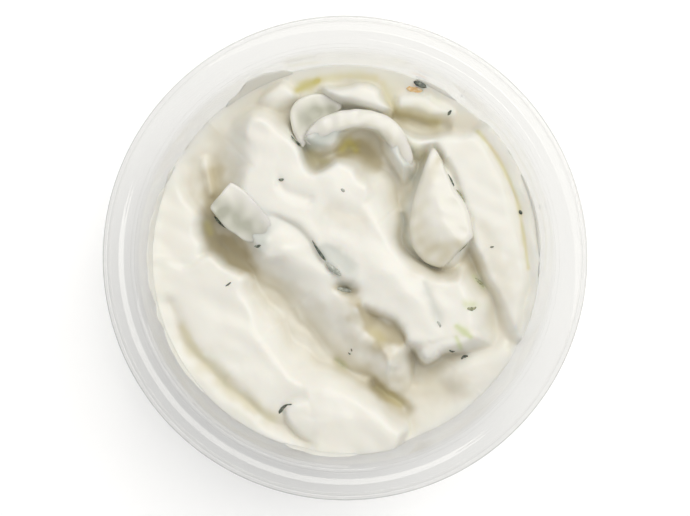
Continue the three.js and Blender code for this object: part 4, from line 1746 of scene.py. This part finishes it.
HERBS: Tuple[Sequence[Station], ...] = (
    [(13.8, 35.5, 0.3, 0.4, 0.1), (15.1, 34.9, 0.4, 0.55, 0.14), (16.4, 34.3, 0.3, 0.4, 0.1)],
    [(20.7, 28.7, 0.1, 0.2, 0.1), (21.0, 29.2, 0.1, 0.3, 0.1), (21.4, 29.8, 0.1, 0.2, 0.1)],
    [(35.0, 9.6, 0.1, 0.2, 0.1), (35.2, 9.2, 0.1, 0.35, 0.15), (35.5, 8.7, 0.1, 0.2, 0.1)],
    [(-21.4, 6.4, 0.35, 0.2, 0.1), (-21.0, 6.1, 0.4, 0.4, 0.15), (-20.7, 5.7, 0.35, 0.2, 0.1)],
    [(-18.2, 2.4, 0.1, 0.12, 0.1), (-17.5, 2.3, 0.15, 0.28, 0.12), (-16.8, 2.6, 0.1, 0.12, 0.1)],
    [(-13.3, 15.7, 0.0, 0.15, 0.1), (-12.7, 15.6, 0.05, 0.3, 0.1), (-12.2, 15.8, 0.0, 0.15, 0.1)],
    [(-24.0, -5.7, 0.0, 0.08, 0.08), (-23.3, -5.2, 0.05, 0.16, 0.1),
     (-22.8, -4.8, 0.0, 0.08, 0.08)],
    [(20.8, -18.4, 0.0, 0.15, 0.1), (21.5, -18.7, 0.05, 0.3, 0.12), (22.1, -18.7, 0.0, 0.15, 0.1)],
    [(23.4, -20.4, 0.0, 0.2, 0.1), (24.1, -20.0, 0.05, 0.4, 0.15), (24.9, -19.8, 0.0, 0.2, 0.1)],
    [(1.2, -18.2, 0.0, 0.08, 0.08), (1.3, -18.5, 0.05, 0.14, 0.1), (1.4, -18.8, 0.0, 0.08, 0.08)],
    [(0.7, -19.1, 0.0, 0.08, 0.08), (0.9, -19.3, 0.05, 0.14, 0.1), (1.1, -19.5, 0.0, 0.08, 0.08)],
    [(29.1, 2.1, 0.0, 0.1, 0.08), (29.5, 2.2, 0.05, 0.22, 0.1), (29.9, 2.3, 0.0, 0.1, 0.08)],
    [(14.6, 5.0, 0.9, 0.1, 0.2), (14.8, 4.5, 1.0, 0.22, 0.3), (15.1, 3.9, 0.9, 0.1, 0.2)],
    [(-13.2, -31.4, 0.0, 0.15, 0.1), (-12.9, -30.6, 0.05, 0.35, 0.15),
     (-11.8, -29.6, 0.05, 0.3, 0.15), (-10.4, -29.2, 0.0, 0.12, 0.1)],
)

PALE_HERBS: Tuple[Sequence[Station], ...] = (
    [(-0.8, 13.8, 0.0, 0.2, 0.08), (-0.4, 13.5, 0.0, 0.35, 0.08), (0.0, 13.1, 0.0, 0.2, 0.08)],
    [(17.9, 6.1, 0.9, 0.2, 0.2), (18.5, 6.0, 1.0, 0.4, 0.3), (19.1, 5.9, 0.9, 0.2, 0.2)],
    [(18.4, -12.6, 0.0, 0.2, 0.08), (18.8, -13.3, 0.0, 0.35, 0.08), (19.1, -13.9, 0.0, 0.2, 0.08)],
    [(-3.9, -0.9, 0.1, 0.3, 0.3), (-2.8, -1.9, 0.1, 0.6, 0.4), (-1.6, -2.8, 0.1, 0.55, 0.4),
     (-0.8, -3.6, 0.1, 0.3, 0.3)],
    [(-1.7, -6.0, 0.1, 0.3, 0.3), (-0.3, -6.5, 0.15, 0.6, 0.4), (1.4, -6.6, 0.1, 0.4, 0.3)],
)

DROPS: Tuple[Sequence[Station], ...] = (
    [(12.3, 34.3, 0.04, 0.5, 0.1), (14.0, 34.1, 0.06, 0.75, 0.14), (15.7, 33.7, 0.04, 0.5, 0.1)],
)


SMEARS: Tuple[Station, ...] = (
    (116, 8, 8.0),
    (178, 20, 4.0),
    (212, 10, 2.4),
    (262, 9, 3.0),
    (12, 14, 1.8),
    (62, 6, 2.0),
)


def main() -> None:
    """Builds every piece in order and reports it."""
    logging.basicConfig(level=logging.INFO, format="%(name)s: %(message)s")
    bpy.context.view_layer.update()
    _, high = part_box("tub")
    shape = CupShape(rim_radius=high.x / MM, height=round(high.z / MM, 1))
    Tub(shape).build()
    LOG.info("tub built")
    dip = DipSurface(shape, MASSES, LIPS, BUMPS, CREASES, PATCHES)
    made = dip.build()
    LOG.info("dip built: %d faces", len(made.data.polygons))
    WallSmears(shape, SMEARS).build(dip.rim, made.data.materials[0])
    LOG.info("smears built")
    flesh = CoatedCucumber().build("coated cucumber")
    for piece in (*CUT_PIECES, *SLICES):
        piece.build(flesh)
        LOG.info("%s built", piece.name)
    for scraps, finish in (
        (Scraps("skin_slivers", "cucumber", SKIN), MottledSkin()),
        (Scraps("olive_skin", "cucumber", OLIVE_SKIN), MottledSkin("#8f9271", "#b9ba97")),
        (Scraps("herb_flecks", "cucumber", HERBS), MottledSkin("#454c42", "#8c9382")),
        (Scraps("pale_flecks", "cucumber", PALE_HERBS), MottledSkin("#a4a89d", "#c9cbc0")),
        (Scraps("oil_drop", "yoghurt_dip", DROPS), MottledSkin("#e0b47a", "#efd8ae", 0.15)),
    ):
        scraps.build(dip, finish.build(scraps.name))
        LOG.info("%s built", scraps.name)
    Studio().build()


if __name__ == "__main__":
    main()
